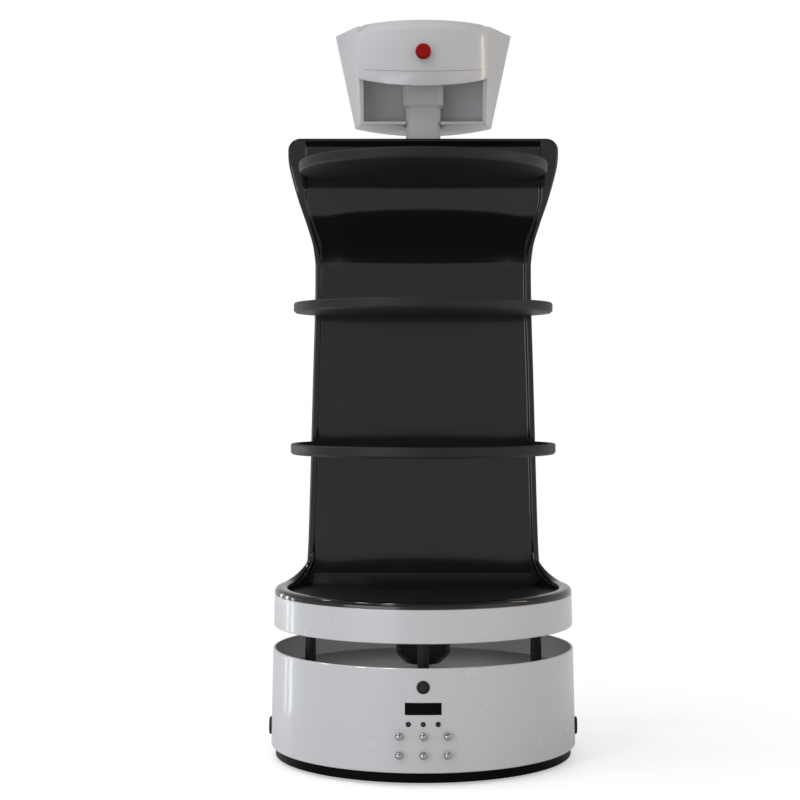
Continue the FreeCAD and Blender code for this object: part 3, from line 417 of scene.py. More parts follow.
@dataclass
class Piece:
    """A mesh that is being built for one named piece."""

    name: str
    body: str
    slot: Slot
    crease: float = 38.0
    points: list[Point3] = field(default_factory=list)
    faces: list[tuple[int, ...]] = field(default_factory=list)
    slots: list[int] = field(default_factory=list)

    def loft(self, loops: Sequence[Sequence[Point3]], capped: bool = True, slot: int = 0) -> Piece:
        """Add a closed skin through closed loops of equal length.

        Args:
            loops: the loops, each in the same order.
            capped: whether the first and the last loop are filled.
            slot: number of the material of its faces.

        Returns:
            This piece.
        """
        start, count = len(self.points), len(loops[0])
        for loop in loops:
            self.points.extend(loop)
        rows = len(loops)
        for row in range(rows - 1 if capped else rows):
            low, high = start + row * count, start + (row + 1) % rows * count
            for i in range(count):
                j = (i + 1) % count
                self.faces.append((low + i, low + j, high + j, high + i))
        if capped:
            self.faces.append(tuple(start + i for i in reversed(range(count))))
            self.faces.append(tuple(start + (rows - 1) * count + i for i in range(count)))
        self.slots.extend([slot] * (len(self.faces) - len(self.slots)))
        return self

    def turn(self, profile: Sequence[Point2], place: Callable[[float, float, float], Point3],
             steps: int = 96, slot: int = 0) -> Piece:
        """Add a closed outline turned about an axis, open in the middle.

        Args:
            profile: (radius, along) points of a closed outline.
            place: turns radius, angle and along into a point.
            steps: how many runs make up the turn.
            slot: number of the material of its faces.

        Returns:
            This piece.
        """
        loops = [[place(r, math.tau * k / steps, along) for r, along in profile] for k in range(steps)]
        return self.loft(loops, capped=False, slot=slot)

    def finish(self, dress: Wardrobe, also: Iterable[Slot] = (), paint: Callable[[Vector], int] | None = None,
               replaces: Iterable[str] = ()) -> bpy.types.Object:
        """Make the object.

        Args:
            dress: the finishes.
            also: slots of the second and later materials.
            paint: picks a face's material from its middle.
            replaces: CAD nodes that the piece stands for.

        Returns:
            The new object, which rides on its body.
        """
        work = bmesh.new()
        spots = [work.verts.new(p) for p in self.points]
        for corners, slot in zip(self.faces, self.slots):
            try:
                face = work.faces.new([spots[i] for i in corners])
            except ValueError:
                continue
            face.material_index = slot
        bmesh.ops.remove_doubles(work, verts=work.verts, dist=1e-6)
        return self._settle(work, dress, also, paint, replaces)

    def _settle(self, work: bmesh.types.BMesh, dress: Wardrobe, also: Iterable[Slot],
                paint: Callable[[Vector], int] | None, replaces: Iterable[str]) -> bpy.types.Object:
        """Turn a working mesh into the named object, smooth but for its creases.

        Args:
            work: the mesh being made, freed here.
            dress: the finishes.
            also: slots added after the piece's own.
            paint: gives a face's slot number from its middle.
            replaces: CAD nodes that the piece stands for.

        Returns:
            The finished object.
        """
        bmesh.ops.recalc_face_normals(work, faces=work.faces)
        if work.calc_volume(signed=True) < 0:
            bmesh.ops.reverse_faces(work, faces=work.faces)
        if paint:
            for face in work.faces:
                face.material_index = paint(face.calc_center_median())
        mesh = bpy.data.meshes.new(self.name)
        work.to_mesh(mesh)
        work.free()
        mesh.polygons.foreach_set("use_smooth", [True] * len(mesh.polygons))
        mesh.set_sharp_from_angle(angle=math.radians(self.crease))
        for slot in (self.slot, *also):
            mesh.materials.append(dress.of[slot])
        piece = bpy.data.objects.new(self.name, mesh)
        bpy.context.scene.collection.objects.link(piece)
        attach(piece, self.body)
        if replaces:
            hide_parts(*replaces)
        LOG.info("%s: %d faces", self.name, len(mesh.polygons))
        return piece

    def soften(self, node: str, width: float, dress: Wardrobe, least: float = 28.0) -> bpy.types.Object:
        """Take a CAD node's mesh and round its hard edges.

        Args:
            node: the CAD node, which the new piece replaces.
            width: how far the rounding reaches from an edge.
            dress: the finishes.
            least: smallest angle of an edge that is rounded, in degrees.

        Returns:
            The new object.
        """
        work = bmesh.new()
        work.from_mesh(dress.nodes[node].data)
        bmesh.ops.remove_doubles(work, verts=work.verts, dist=1e-5)
        bmesh.ops.dissolve_limit(work, angle_limit=math.radians(0.8), verts=work.verts, edges=work.edges)
        hard = [e for e in work.edges if len(e.link_faces) == 2
                and e.calc_face_angle(0.0) > math.radians(least)]
        bmesh.ops.bevel(work, geom=hard, offset=width, offset_type="OFFSET", segments=3, profile=0.5,
                        affect="EDGES", clamp_overlap=True, harden_normals=False)
        bmesh.ops.remove_doubles(work, verts=work.verts, dist=1e-6)
        return self._settle(work, dress, (), None, (node,))


def about_x(centre: Point3) -> Callable[[float, float, float], Point3]:
    """Placing of a form turned about a line along X."""
    cx, cy, cz = centre
    return lambda r, a, along: (cx + along, cy + r * math.cos(a), cz + r * math.sin(a))


def about_y(centre: Point3) -> Callable[[float, float, float], Point3]:
    """Placing of a form turned about a line along Y."""
    cx, cy, cz = centre
    return lambda r, a, along: (cx + r * math.cos(a), cy + along, cz + r * math.sin(a))


def about_z(r: float, a: float, along: float) -> Point3:
    """Placing of a form turned about the robot's own axis."""
    return (r * math.cos(a), r * math.sin(a), along)


class Wardrobe:
    """Builds every finish and dresses the CAD nodes."""

    # The skirt under the shell wears the darker, duller window finish instead of its own gloss black: painted
    # shade for the dark gap under the robot.
    painted_shade_finishes = {"base_skirt": Slot.WINDOW}

    def __init__(self, frame: dict) -> None:
        """Build the finishes.
        """
        self.nodes = frame["nodes"]
        self.of = {finish.slot: finish.build() for finish in FINISHES}
        self.slots = {part["node"]: Slot(part["material_slot"]) for part in frame["record"]["subparts"]}

    def dress(self) -> None:
        """Give each CAD node its slot's finish; the skirt gets the darker window finish as painted shade."""
        for name, thing in self.nodes.items():
            if not thing.material_slots:
                continue
            for holder in thing.material_slots:
                holder.material = self.of[self.painted_shade_finishes.get(name, self.slots[name])]


# Repeats


@dataclass
class Ring:
    """Copies of one small form, evenly round an axis along X, made with Geometry Nodes."""

    count: int
    radius: float
    centre: Point3
    phase: float = 0.0

    def build(self, name: str, unit: bpy.types.Mesh, material: bpy.types.Material) -> bpy.types.Mesh:
        """Make the copies as one mesh.

        Args:
            name: name of the new mesh.
            unit: the form, with +X outward from the ring and Z along its axis.
            material: the finish of the copies.

        Returns:
            The mesh, in place.
        """
        tree = bpy.data.node_groups.new(f"{name}_ring", "GeometryNodeTree")
        face = tree.interface
        for label, kind in (("Count", "NodeSocketInt"), ("Radius", "NodeSocketFloat"),
                            ("Form", "NodeSocketObject"), ("Finish", "NodeSocketMaterial")):
            face.new_socket(name=label, in_out="INPUT", socket_type=kind)
        face.new_socket(name="Geometry", in_out="OUTPUT", socket_type="NodeSocketGeometry")
        graph = Graph(tree)
        given = graph.add("NodeGroupInput")
        circle = graph.add("GeometryNodeMeshCircle", {}, {"Vertices": given.out("Count"),
                                                          "Radius": given.out("Radius")})
        where = graph.add("GeometryNodeInputPosition")
        turn = graph.add("FunctionNodeAlignRotationToVector", {"axis": "X"}, {"Vector": where.out(0)})
        form = graph.add("GeometryNodeObjectInfo", {}, {"Object": given.out("Form")})
        copies = graph.add("GeometryNodeInstanceOnPoints", {}, {
            "Points": circle.out(0), "Instance": form.out("Geometry"), "Rotation": turn.out(0)})
        real = graph.add("GeometryNodeRealizeInstances", {}, {"Geometry": copies.out(0)})
        painted = graph.add("GeometryNodeSetMaterial", {}, {"Geometry": real.out(0),
                                                            "Material": given.out("Finish")})
        graph.add("NodeGroupOutput", {}, {0: painted.out(0)})
        source = bpy.data.objects.new(f"{name}_unit", unit)
        holder = bpy.data.objects.new(f"{name}_holder", bpy.data.meshes.new(f"{name}_empty"))
        for thing in (source, holder):
            bpy.context.scene.collection.objects.link(thing)
        modifier = holder.modifiers.new("ring", "NODES")
        modifier.node_group = tree
        ids = {item.name: item.identifier for item in face.items_tree if item.in_out == "INPUT"}
        for label, setting in (("Count", self.count), ("Radius", self.radius), ("Form", source),
                               ("Finish", material)):
            modifier[ids[label]] = setting
        view = bpy.context.evaluated_depsgraph_get()
        made = bpy.data.meshes.new_from_object(holder.evaluated_get(view))
        for thing in (holder, source):
            bpy.data.objects.remove(thing)
        made.name = name
        turn_up = Euler((0.0, math.pi / 2, 0.0)).to_matrix().to_4x4()
        spin = Euler((self.phase, 0.0, 0.0)).to_matrix().to_4x4()
        made.transform(spin @ turn_up)
        for vertex in made.vertices:
            vertex.co += Vector(self.centre)
        return made


def block(size: Point3, taper: float = 0.8) -> bpy.types.Mesh:
    """A small block that narrows outwards, bevelled all round.

    Args:
        size: outward, across and along.
        taper: width of the outer end against the inner one.

    Returns:
        The mesh, about the origin.
    """
    out, across, along = (s / 2 for s in size)
    work = bmesh.new()
    spots = []
    for x, k in ((-out, 1.0), (out, taper)):
        for y, z in ((-across, -along), (across, -along), (across, along), (-across, along)):
            spots.append(work.verts.new((x, y * k, z)))
    for corners in ((3, 2, 1, 0), (4, 5, 6, 7), (0, 1, 5, 4), (1, 2, 6, 5), (2, 3, 7, 6), (3, 0, 4, 7)):
        work.faces.new([spots[i] for i in corners])
    bmesh.ops.recalc_face_normals(work, faces=work.faces)
    bmesh.ops.bevel(work, geom=work.edges[:], offset=min(size) * 0.12, segments=1, affect="EDGES",
                    profile=0.5)
    mesh = bpy.data.meshes.new("block")
    work.to_mesh(mesh)
    work.free()
    return mesh


# Sub-assemblies


@dataclass
class BaseTray:
    """Black dish with a rolled rim that swells up into the column's beads."""

    dress: Wardrobe
    outer_r: float = 0.2440
    inner_r: float = 0.2210
    plug_r: float = 0.2397
    low_z: float = 0.2580
    seat_z: float = 0.2664
    crest_z: float = 0.2770
    floor_z: float = 0.2640
    swell_from: float = 12.0
    bead_x: float = 0.1903
    bead_y: float = 0.1160
    bead_top: float = 0.3200
    bead_wide: float = 0.0100
    bead_deep: float = 0.0160
    bend: float = 0.1000
    cove_r: float = 0.0250
    panel_y: float = 0.1150
    cove_half: float = 0.2040

    def rim(self) -> list[Point2]:
        """Outline the dish, from its plug over the rim to the floor.

        Returns:
            The closed outline as radius and height.
        """
        middle, half = (self.outer_r + self.inner_r) / 2, (self.outer_r - self.inner_r) / 2
        rise = self.crest_z - self.seat_z
        roll = []
        for k in range(25):
            a = math.pi * k / 24
            across, up = math.cos(a), math.sin(a)
            roll.append((middle + half * math.copysign(abs(across) ** 0.72, across),
                         self.seat_z + rise * up ** 0.72))
        return [(0.0002, self.low_z), (self.plug_r, self.low_z), (self.plug_r, self.seat_z), *roll,
                (self.inner_r, self.floor_z + 0.0012), (self.inner_r - 0.0012, self.floor_z),
                (0.0002, self.floor_z)]

    def swell(self, side: int) -> list[list[Point3]]:
        """Loops of the tube that leaves the rim and turns up into a bead.

        Args:
            side: -1 for the left, 1 for the right.

        Returns:
            The loops from the rim upwards.
        """
        middle = (self.outer_r + self.inner_r) / 2
        a0 = math.radians(self.swell_from)
        start = Vector((middle * math.cos(a0), middle * math.sin(a0), self.crest_z - 0.0075))
        end = Vector((self.bead_x, self.bead_y, self.bead_top))
        out = Vector((-math.sin(a0), math.cos(a0), 0.0)) * self.bend
        up = Vector((0.0, 0.0, 1.0)) * self.bend
        loops = []
        steps = 30
        for k in range(steps + 1):
            t = k / steps
            h00, h10 = 2 * t ** 3 - 3 * t ** 2 + 1, t ** 3 - 2 * t ** 2 + t
            h01, h11 = 3 * t ** 2 - 2 * t ** 3, t ** 3 - t ** 2
            spot = start * h00 + out * h10 + end * h01 + up * h11
            way = (start * (6 * t * t - 6 * t) + out * (3 * t * t - 4 * t + 1)
                   + end * (6 * t - 6 * t * t) + up * (3 * t * t - 2 * t)).normalized()
            radial = Vector((spot.x, spot.y, 0.0)).normalized()
            outward = radial.lerp(Vector((1.0, 0.0, 0.0)), eased(0.3, 1.0, t))
            outward = (outward - way * outward.dot(way)).normalized()
            above = outward.cross(way)
            blend = eased(0.05, 0.95, t)
            half_wide = 0.0112 + (self.bead_wide / 2 - 0.0112) * blend
            half_deep = 0.0072 + (self.bead_deep / 2 - 0.0072) * blend
            loop = []
            for i in range(24):
                a = math.tau * i / 24
                c, s = math.cos(a), math.sin(a)
                p = (spot + outward * half_wide * math.copysign(abs(c) ** 0.75, c)
                     + above * half_deep * math.copysign(abs(s) ** 0.75, s))
                loop.append((side * p.x, p.y, p.z))
            loops.append(loop if side > 0 else loop[::-1])
        return loops

    def cove(self) -> list[list[Point3]]:
        """Levels across the hollow round between the dish's floor and the column's panel.

        Returns:
            Closed outlines in the middle plane's direction, from the left end to the right one.
        """
        loops = []
        for k in range(41):
            x = self.cove_half * (k / 20 - 1)
            radius = self.cove_r * (1 - 0.6 * eased(0.190, self.cove_half, abs(x)))
            low, back = self.floor_z - 0.0004, self.panel_y + 0.0004
            arc = [(back - radius + radius * math.cos(a), low + radius - radius * math.sin(a))
                   for a in (math.pi / 2 * i / 12 for i in range(13))]
            outline = [*arc, (back - radius, low - 0.002), (back + 0.004, low - 0.002),
                       (back + 0.004, low + radius)]
            loops.append([(x, y, z) for y, z in outline])
        return loops

    def build(self) -> None:
        """Build the dish and its swells as one piece."""
        piece = Piece("base_tray", "base", Slot.GLOSS)
        piece.turn(self.rim(), about_z, steps=180)
        for side in (-1, 1):
            piece.loft(self.swell(side))
        piece.loft(self.cove())
        piece.finish(self.dress, (Slot.SATIN,), self.satin, replaces=("tray_column",))

    def satin(self, middle: Vector) -> int:
        """Tell which finish a face of the tray has.

        Args:
            middle: the face's middle.

        Returns:
            1 on the matt floor and the cove at the panel's foot, else 0.
        """
        on_floor = math.hypot(middle.x, middle.y) < self.inner_r - 0.002 and middle.z < self.floor_z + 0.0005
        on_cove = (abs(middle.x) < 0.192 and middle.z < self.floor_z + self.cove_r
                   and self.panel_y - self.cove_r < middle.y < self.panel_y)
        return int(on_floor or on_cove)


@dataclass
class Column:
    """Black back column: one skin from the foot to the rounded top."""

    dress: Wardrobe
    foot_z: float = 0.2620
    waist_z: float = 0.8307
    top_z: float = 1.0240
    half: Curve = field(default_factory=lambda: Curve((
        (0.262, 0.2000), (0.300, 0.1990), (0.330, 0.1973), (0.370, 0.1958), (0.420, 0.1943),
        (0.620, 0.1889), (0.760, 0.1851), (0.808, 0.1847),
        (0.840, 0.1877), (0.880, 0.1984), (0.919, 0.2113), (0.959, 0.2226), (0.982, 0.2275), (0.998, 0.2286),
        (1.024, 0.2286))))
    opening: Curve = field(default_factory=lambda: Curve((
        (0.262, 0.1900), (0.300, 0.1890), (0.330, 0.1873), (0.370, 0.1858), (0.420, 0.1843),
        (0.620, 0.1789), (0.790, 0.1742), (0.838, 0.1748),
        (0.878, 0.1862), (0.908, 0.1952), (0.926, 0.1982), (1.024, 0.1982))))
    proud: float = 0.0070
    cover_y: float = 0.1680
    corner: float = 0.0200
    back_round: float = 0.0280
    lip_round: float = 0.0035
    seam_wide: float = 0.0007

    def panel(self, z: float) -> float:
        """Place the panel at a height.

        Args:
            z: the height.

        Returns:
            How far forward of the axis it stands.
        """
        lean = (z - 0.8250 + 0.0130) / (0.9240 - 0.8250 + 0.0260)
        lean = min(max(lean, 0.0), 1.0)
        soft = lean - math.sin(math.tau * lean) / math.tau * 0.45
        return 0.1150 - 0.0390 * soft

    def back(self, z: float) -> float:
        """Place the smooth far side at a height.

        Args:
            z: the height.

        Returns:
            How far it stands from the axis.
        """
        low = 0.2310 + (0.2100 - 0.2310) * (z - 0.261) / (self.waist_z - 0.261)
        high = 0.2100 + (0.1760 - 0.2100) * (z - self.waist_z) / (self.top_z - self.waist_z)
        return low + (high - low) * eased(self.waist_z - 0.012, self.waist_z + 0.012, z)

    def cone(self, z: float) -> float:
        """Size the round sides at a height.

        Args:
            z: the height.

        Returns:
            Their radius.
        """
        low = 0.2335 + (0.2190 - 0.2335) * (z - 0.261) / (self.waist_z - 0.261)
        high = 0.2190 + (0.2435 - 0.2190) * min((z - self.waist_z) / (0.979 - self.waist_z), 1.0)
        return low + (high - low) * eased(self.waist_z - 0.012, self.waist_z + 0.012, z)

    def drawn_in(self, z: float, radius: float) -> float:
        """How far an edge of a given round has moved in at a height near the top."""
        below = max(z - (self.top_z - radius), 0.0)
        return radius - math.sqrt(max(radius ** 2 - below ** 2, 0.0))

    def section(self, z: float) -> list[Point3]:
        """One closed level of the skin.

        Args:
            z: its height.

        Returns:
            Its points, from the panel's middle round the right side and back.
        """
        edge = self.drawn_in(z, self.lip_round)
        half = self.half.at(z) - self.drawn_in(z, self.corner)
        opening = self.opening.at(z) - edge
        front = self.panel(z) - self.proud + edge
        lip = eased(self.top_z - 0.013, self.top_z - 0.004, z)
        panel = max(self.panel(z) - self.proud * lip, front) + 1e-5
        back = self.back(z) - self.drawn_in(z, self.back_round)
        radius = self.cone(z) - edge
        wide = min(half - opening, 0.012)
        opening = min(opening, half - wide * 0.6)
        side_y = max(math.sqrt(max(radius ** 2 - half ** 2, 0.0)), front + 0.008)
        start = math.atan2(side_y, half)
        flat_x = math.sqrt(max(radius ** 2 - back ** 2, 1e-8))
        end = math.atan2(back, flat_x)
        seam = min(math.asin(min(self.cover_y / radius, 0.999)), end - 0.012)
        gap = self.seam_wide / radius
        corners = [(0.0, panel, 0.0)]
        corners += [(opening * k / 6, panel, 0.0) for k in range(1, 6)]
        corners += [(opening, panel, min(0.004, (panel - front) * 0.45)),
                    (opening, front, min(0.0045, (panel - front) * 0.49)),
                    ((opening + half) / 2, front, 0.0), (half, front, 0.0055), (half, side_y, 0.006)]
        arc = [(start + (seam - start) * k / 12, radius) for k in range(1, 12)]
        arc += [(seam - gap, radius), (seam - gap / 2, radius - self.seam_wide),
                (seam + gap / 2, radius - self.seam_wide), (seam + gap, radius)]
        arc += [(seam + (end - seam) * k / 12, radius) for k in range(1, 12)]
        corners += [(r * math.cos(angle), r * math.sin(angle), 0.0) for angle, r in arc]
        corners += [(flat_x, back, 0.010)]
        corners += [(flat_x * (6 - k) / 6, back, 0.0) for k in range(1, 7)]
        right = rounded(corners, 5)
        left = [(-x, y) for x, y in reversed(right[1:-1])]
        return [(x, y, z) for x, y in right + left]

    def levels(self) -> list[float]:
        """List the skin's levels, close together where it bends.

        Returns:
            The levels' heights.
        """
        levels = [self.foot_z + 0.012 * k for k in range(46)]
        levels = [z for z in levels if z < 0.79]
        levels += [0.79 + 0.004 * k for k in range(52)]
        levels = [z for z in levels if z < self.top_z - 0.030]
        steps = 16
        levels += [self.top_z - 0.030 * (1 - math.sin(math.pi / 2 * k / steps)) for k in range(steps + 1)]
        return levels

    def build(self) -> None:
        """Build the skin."""
        piece = Piece("column_skin", "base", Slot.GLOSS, crease=50)
        piece.loft([self.section(z) for z in self.levels()])
        piece.finish(self.dress, replaces=("tray_column", "column_cover"))


@dataclass
class CapCreaseShade:
    """Thin dark strip along the crease across the head's cap, above its lip: painted shade for the crease's shade
    line.
    """

    dress: Wardrobe
    back_y: float = 0.0200
    radius: float = 0.1594
    half: float = 0.0985
    middle_z: float = 1.1288
    rise: float = 0.0085
    wide: float = 0.0005
    proud: float = 0.0001
    deep: float = 0.0008

    def build(self) -> None:
        """Build the painted crease shade as one curved strip."""
        loops = []
        for k in range(41):
            x = self.half * (k / 20 - 1)
            y = self.back_y + self.radius - math.sqrt(self.radius ** 2 - x ** 2)
            z = self.middle_z + self.rise * (x / self.half) ** 2
            low, high, out, inside = z - self.wide / 2, z + self.wide / 2, y - self.proud, y + self.deep
            loops.append([(x, out, low), (x, out, high), (x, inside, high), (x, inside, low)])
        # Satin black strip: painted shade along the crease.
        Piece("cap_seam", "base", Slot.SATIN).loft(loops).finish(self.dress)


@dataclass
class NeckLip:
    """Bright collar that narrows from the neck's sleeve down to its post."""

    dress: Wardrobe
    middle_y: float = 0.0960
    sleeve: Point2 = (0.0688, 0.0404)
    post: Point2 = (0.0592, 0.0346)
    top_z: float = 1.0850
    low_z: float = 1.0768
    corner: float = 0.0070

    def outline(self, wide: float, deep: float, z: float) -> list[Point3]:
        """A rectangle with cut corners at one height.

        Args:
            wide: its size along X.
            deep: its size along Y.
            z: the height.

        Returns:
            Its points, anticlockwise from above.
        """
        x, y, c = wide / 2, deep / 2, self.corner
        flat = ((x, -y + c), (x, y - c), (x - c, y), (-x + c, y), (-x, y - c), (-x, -y + c), (-x + c, -y),
                (x - c, -y))
        return [(px, self.middle_y + py, z) for px, py in flat]

    def build(self) -> None:
        """Build the collar."""
        levels = ((self.post, self.low_z), (self.post, self.low_z + 0.0006), (self.sleeve, self.top_z - 0.0026),
                  (self.sleeve, self.top_z))
        piece = Piece("neck_lip", "base", Slot.NECK, crease=20)
        piece.loft([self.outline(*size, z) for size, z in levels])
        piece.finish(self.dress)


@dataclass
class Contacts:
    """Six bright ball-ended charging pins on the back of the shell."""

    dress: Wardrobe
    pitch: float = 0.0370
    heights: tuple[float, float] = (0.0760, 0.0476)
    ball: float = 0.0060
    reach: float = 0.0120
    stem: float = 0.0034
    deep: float = 0.0090
    socket_pitch: float = 0.0226
    socket_z: float = 0.0938
    socket_sunk: float = 0.0012
    dot: float = 0.0013

    def shell_r(self, z: float) -> float:
        """Outer radius of the shell at a height."""
        return 0.2500 + (0.2465 - 0.2500) * (z - 0.020) / (0.1777 - 0.020)

    def build(self) -> None:
        """Build the pins as one piece."""
        piece = Piece("contact_pins", "base", Slot.CONTACT, crease=60)
        for z in self.heights:
            for step in (-1, 0, 1):
                x = step * self.pitch
                seat = -math.sqrt(self.shell_r(z) ** 2 - x ** 2)
                middle = seat - self.reach + self.ball
                profile = [(self.ball * math.sin(a), middle - self.ball * math.cos(a))
                           for a in (math.pi * k / 16 for k in range(14))]
                profile[0] = (1e-5, middle - self.ball)
                profile += [(self.stem, seat + self.deep * 0.4), (self.stem, seat + self.deep),
                            (1e-5, seat + self.deep)]
                piece.turn(profile, about_y((x, 0.0, z)), steps=32)
        piece.finish(self.dress, replaces=("charge_contacts",))
        dots = Piece("socket_pins", "base", Slot.CONTACT, crease=60)
        for step in (-1, 0, 1):
            x = step * self.socket_pitch
            middle = -math.sqrt(self.shell_r(self.socket_z) ** 2 - x ** 2) + self.socket_sunk
            profile = [(max(self.dot * math.sin(a), 1e-5), middle - self.dot * math.cos(a))
                       for a in (math.pi * k / 12 for k in range(12))]
            profile.append((1e-5, middle + self.dot))
            dots.turn(profile, about_y((x, 0.0, self.socket_z)), steps=20)
        dots.finish(self.dress)


@dataclass
class Wheels:
    """Tread blocks on the drive tyres and bolts in their hubs."""

    dress: Wardrobe
    drive_x: float = 0.1880
    drive_r: float = 0.0625
    wide: float = 0.0340
    blocks: int = 40
    bolts: int = 5
    bolt_ring: float = 0.0300

    def tread(self, side: str, sign: int) -> None:
        """Build one tyre: a round casing under staggered tread blocks.

        Args:
            side: left or right, as in the CAD names.
            sign: -1 or 1.
        """
        centre = (sign * self.drive_x, 0.0, self.drive_r)
        casing = self.drive_r - 0.0022
        inner = self.drive_r - 0.0110
        half = self.wide / 2
        outline = rounded([(inner, -half, 0.0), (casing, -half, 0.006), (casing, half, 0.006), (inner, half, 0.0)])
        piece = Piece(f"drive_tyre_{side}_tread", f"drive_wheel_{side}", Slot.TYRE)
        piece.turn(outline, about_x(centre), steps=72)
        for row, phase in ((-1, 0.0), (1, math.pi / self.blocks)):
            ring = Ring(self.blocks, self.drive_r - 0.0017,
                        (centre[0] + row * half * 0.44, 0.0, centre[2]), phase)
            mesh = ring.build(f"tread_{side}_{row}", block((0.0034, 0.0066, half * 0.74)),
                              self.dress.of[Slot.TYRE])
            start = len(piece.points)
            piece.points.extend(tuple(v.co) for v in mesh.vertices)
            piece.faces.extend(tuple(start + i for i in p.vertices) for p in mesh.polygons)
            piece.slots.extend([0] * len(mesh.polygons))
        piece.finish(self.dress, replaces=(f"drive_tyre_{side}",))

    def bolt(self) -> bpy.types.Mesh:
        """Make a low round bolt head, whose axis is the ring's.

        Returns:
            The head's mesh.
        """
        work = bmesh.new()
        bmesh.ops.create_cone(work, cap_ends=True, segments=12, radius1=0.0032, radius2=0.0026, depth=0.0022)
        mesh = bpy.data.meshes.new("bolt")
        work.to_mesh(mesh)
        work.free()
        return mesh

    def build(self) -> None:
        """Build both wheels' extras."""
        for side, sign in (("left", -1), ("right", 1)):
            self.tread(side, sign)
            dish = self.drive_x + self.wide / 2 - self.wide / 5 + 0.0010
            ring = Ring(self.bolts, self.bolt_ring, (sign * dish, 0.0, self.drive_r))
            mesh = ring.build(f"hub_bolts_{side}", self.bolt(), self.dress.of[Slot.STEEL])
            piece = Piece(f"drive_hub_{side}_bolts", f"drive_wheel_{side}", Slot.STEEL)
            piece.points = [tuple(v.co) for v in mesh.vertices]
            piece.faces = [tuple(p.vertices) for p in mesh.polygons]
            piece.slots = [0] * len(piece.faces)
            piece.finish(self.dress)


# Studio


@dataclass(frozen=True)
class Lamp:
    """One soft area light."""

    name: str
    place: Point3
    target: Point3
    size: Point2
    power: float
    colour: Colour = (1.0, 1.0, 1.0)
    spread: float = math.pi

    def build(self) -> None:
        """Hang the lamp."""
        data = bpy.data.lights.new(self.name, "AREA")
        data.shape, data.size, data.size_y = "RECTANGLE", *self.size
        data.energy, data.color, data.spread = self.power, self.colour, self.spread
        lamp = bpy.data.objects.new(self.name, data)
        lamp.location = self.place
        lamp.rotation_euler = (Vector(self.target) - Vector(self.place)).to_track_quat("-Z", "Y").to_euler()
        lamp.visible_camera = False
        bpy.context.scene.collection.objects.link(lamp)


LAMPS = (
    Lamp("key_wide", (-1.90, -2.40, 0.55), (0.0, 0.0, -0.10), (2.4, 1.0), 7.5, (0.94, 0.965, 1.0), 1.7),
    Lamp("key_high", (-1.50, -2.20, 3.30), (0.0, 0.0, 0.60), (0.55, 0.55), 12.0),
    Lamp("top_right", (-0.65, -0.38, 2.60), (0.0, 0.0, 0.30), (0.22, 0.22), 5.0),
    Lamp("top_middle", (-1.20, -0.07, 2.60), (0.0, 0.0, 0.30), (0.22, 0.22), 5.0),
    Lamp("top_left", (-2.00, 0.82, 2.60), (0.0, 0.0, 0.30), (0.22, 0.22), 5.0),
    Lamp("strip_near", (-2.30, 1.60, 0.40), (0.0, 0.0, 0.30), (0.08, 0.8), 2.5, (0.93, 0.97, 1.0)),
    Lamp("strip_far", (-1.95, 2.05, 0.40), (0.0, 0.0, 0.30), (0.10, 0.8), 2.5, (0.93, 0.97, 1.0)),
    Lamp("edge_thin", (-0.66, 0.225, 0.17), (-0.22, -0.12, 0.17), (0.014, 0.34), 0.11, (0.90, 0.96, 1.0)),
    Lamp("edge_broad", (-0.70, 0.140, 0.17), (-0.21, -0.13, 0.17), (0.022, 0.34), 0.22, (0.90, 0.96, 1.0)),
    Lamp("warm_fill", (1.90, -1.30, 0.80), (0.1, 0.0, 0.90), (1.5, 1.5), 3.0, (1.0, 0.88, 0.76)),
    Lamp("warm_side", (1.60, -0.20, 1.25), (0.15, 0.0, 1.0), (0.10, 0.8), 3.0, (1.0, 0.80, 0.62)),
    Lamp("gap_fill", (0.0, -0.02, 0.205), (0.0, -0.02, 0.10), (0.30, 0.30), 0.20),
)


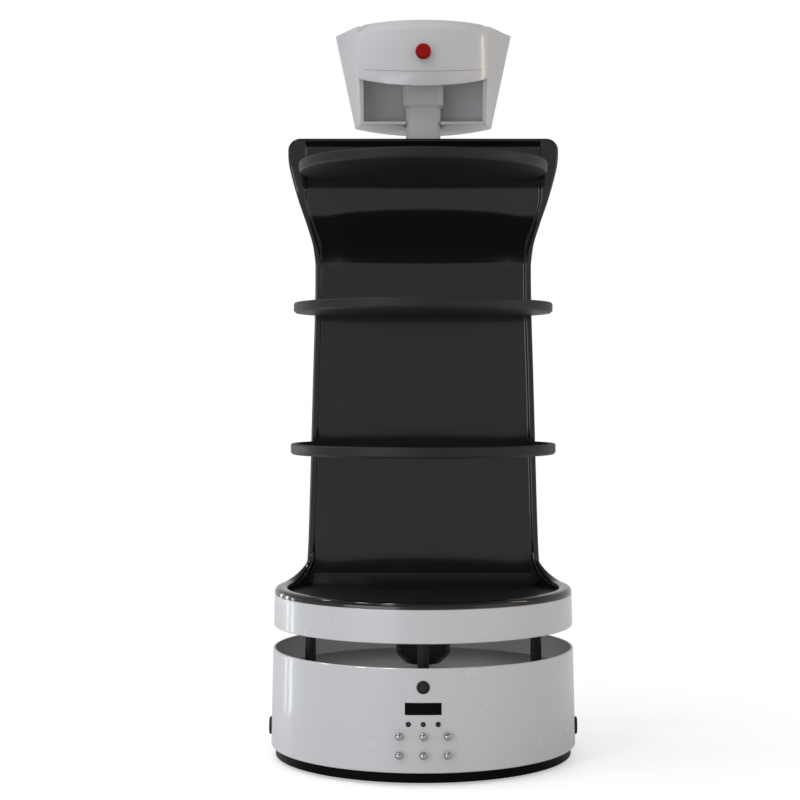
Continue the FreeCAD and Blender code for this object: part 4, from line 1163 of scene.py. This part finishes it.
@dataclass
class Studio:
    """White room, lamps and the photograph's camera."""

    lens: float = 79.335
    eye: Point3 = (0.0, -2.911, 0.603)
    shift: Point2 = (-0.0290, -0.01575)
    ambient: float = 0.52
    mirrored: float = 0.62
    ceiling: float = 0.25
    floor_half: float = 14.0

    def camera(self) -> None:
        """Set up the camera."""
        data = bpy.data.cameras.new("camera")
        data.lens, data.sensor_width = self.lens, 36.0
        data.shift_x, data.shift_y = self.shift
        data.clip_start, data.clip_end = 0.05, 60.0
        camera = bpy.data.objects.new("camera", data)
        camera.location = self.eye
        camera.rotation_euler = (math.pi / 2, 0.0, 0.0)
        bpy.context.scene.collection.objects.link(camera)
        bpy.context.scene.camera = camera

    def world(self) -> None:
        """White to the eye, paler in reflections and as light."""
        world = bpy.data.worlds.new("studio")
        world.use_nodes = True
        graph = Graph(world.node_tree)
        path = graph.add("ShaderNodeLightPath")
        seen = path.value("Is Camera Ray")
        mirror = path.value("Is Glossy Ray")
        through = path.value("Is Transmission Ray")
        way = graph.add("ShaderNodeSeparateXYZ", {}, {0: graph.add("ShaderNodeTexCoord").out("Generated")})
        room = graph.add("ShaderNodeMapRange", {}, {
            "Value": way.value("Z"), "From Min": 0.15, "From Max": 0.75, "To Min": self.mirrored,
            "To Max": self.ceiling}).value(0)
        level = self.ambient + (1.0 - self.ambient) * (seen + through) + (room - self.ambient) * mirror
        light = graph.add("ShaderNodeBackground", {}, {"Color": (1, 1, 1, 1), "Strength": level})
        graph.add("ShaderNodeOutputWorld", {}, {"Surface": light.out(0)})
        bpy.context.scene.world = world

    def floor(self) -> None:
        """Pale floor that keeps the shadow near the robot and is plain white further off."""
        material = bpy.data.materials.new("studio_floor")
        material.use_nodes = True
        graph = Graph(material.node_tree)
        place = graph.add("ShaderNodeTexCoord").out("Object")
        far = graph.add("ShaderNodeVectorMath", {"operation": "LENGTH"}, {0: place}).value("Value")
        fade = graph.add("ShaderNodeMapRange", {"interpolation_type": "SMOOTHSTEP"},
                         {"Value": far, "From Min": 0.32, "From Max": 0.95}).value(0)
        eye = graph.add("ShaderNodeLightPath").value("Is Camera Ray")
        lit = graph.add("ShaderNodeBsdfPrincipled", {}, {
            "Base Color": (0.80, 0.80, 0.80, 1), "Roughness": 0.5, "Specular IOR Level": 0.2,
            "Emission Color": (1, 1, 1, 1), "Emission Strength": eye * 0.46})
        white = graph.add("ShaderNodeEmission", {}, {"Color": (1, 1, 1, 1), "Strength": 0.7 + 0.3 * eye})
        mix = graph.add("ShaderNodeMixShader", {}, {0: fade, 1: lit.out(0), 2: white.out(0)})
        graph.add("ShaderNodeOutputMaterial", {}, {"Surface": mix.out(0)})
        mesh = bpy.data.meshes.new("floor")
        h = self.floor_half
        mesh.from_pydata([(-h, -h, 0), (h, -h, 0), (h, h, 0), (-h, h, 0)], [], [(0, 1, 2, 3)])
        mesh.materials.append(material)
        floor = bpy.data.objects.new("floor", mesh)
        bpy.context.scene.collection.objects.link(floor)
        floor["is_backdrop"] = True

    def build(self) -> None:
        """Build the studio."""
        bpy.context.scene.view_settings.view_transform = "Standard"
        self.camera()
        self.world()
        self.floor()
        for lamp in LAMPS:
            lamp.build()


def main() -> None:
    """Load the frame, dress it and set up the picture."""
    logging.basicConfig(level=logging.INFO, format="%(message)s")
    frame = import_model()
    cad = tuple(corner.copy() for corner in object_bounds())
    dress = Wardrobe(frame)
    dress.dress()
    BaseTray(dress).build()
    Column(dress).build()
    Contacts(dress).build()
    Wheels(dress).build()
    softened = (("head_shell", 0.0040, 14.0), ("neck_post", 0.0015, 28.0), ("neck_sleeve", 0.0012, 28.0))
    for node, width, least in softened:
        Piece(f"{node}_skin", "base", dress.slots[node]).soften(node, width, dress, least)
    CapCreaseShade(dress).build()
    NeckLip(dress).build()
    Studio().build()


if __name__ == "__main__":
    main()
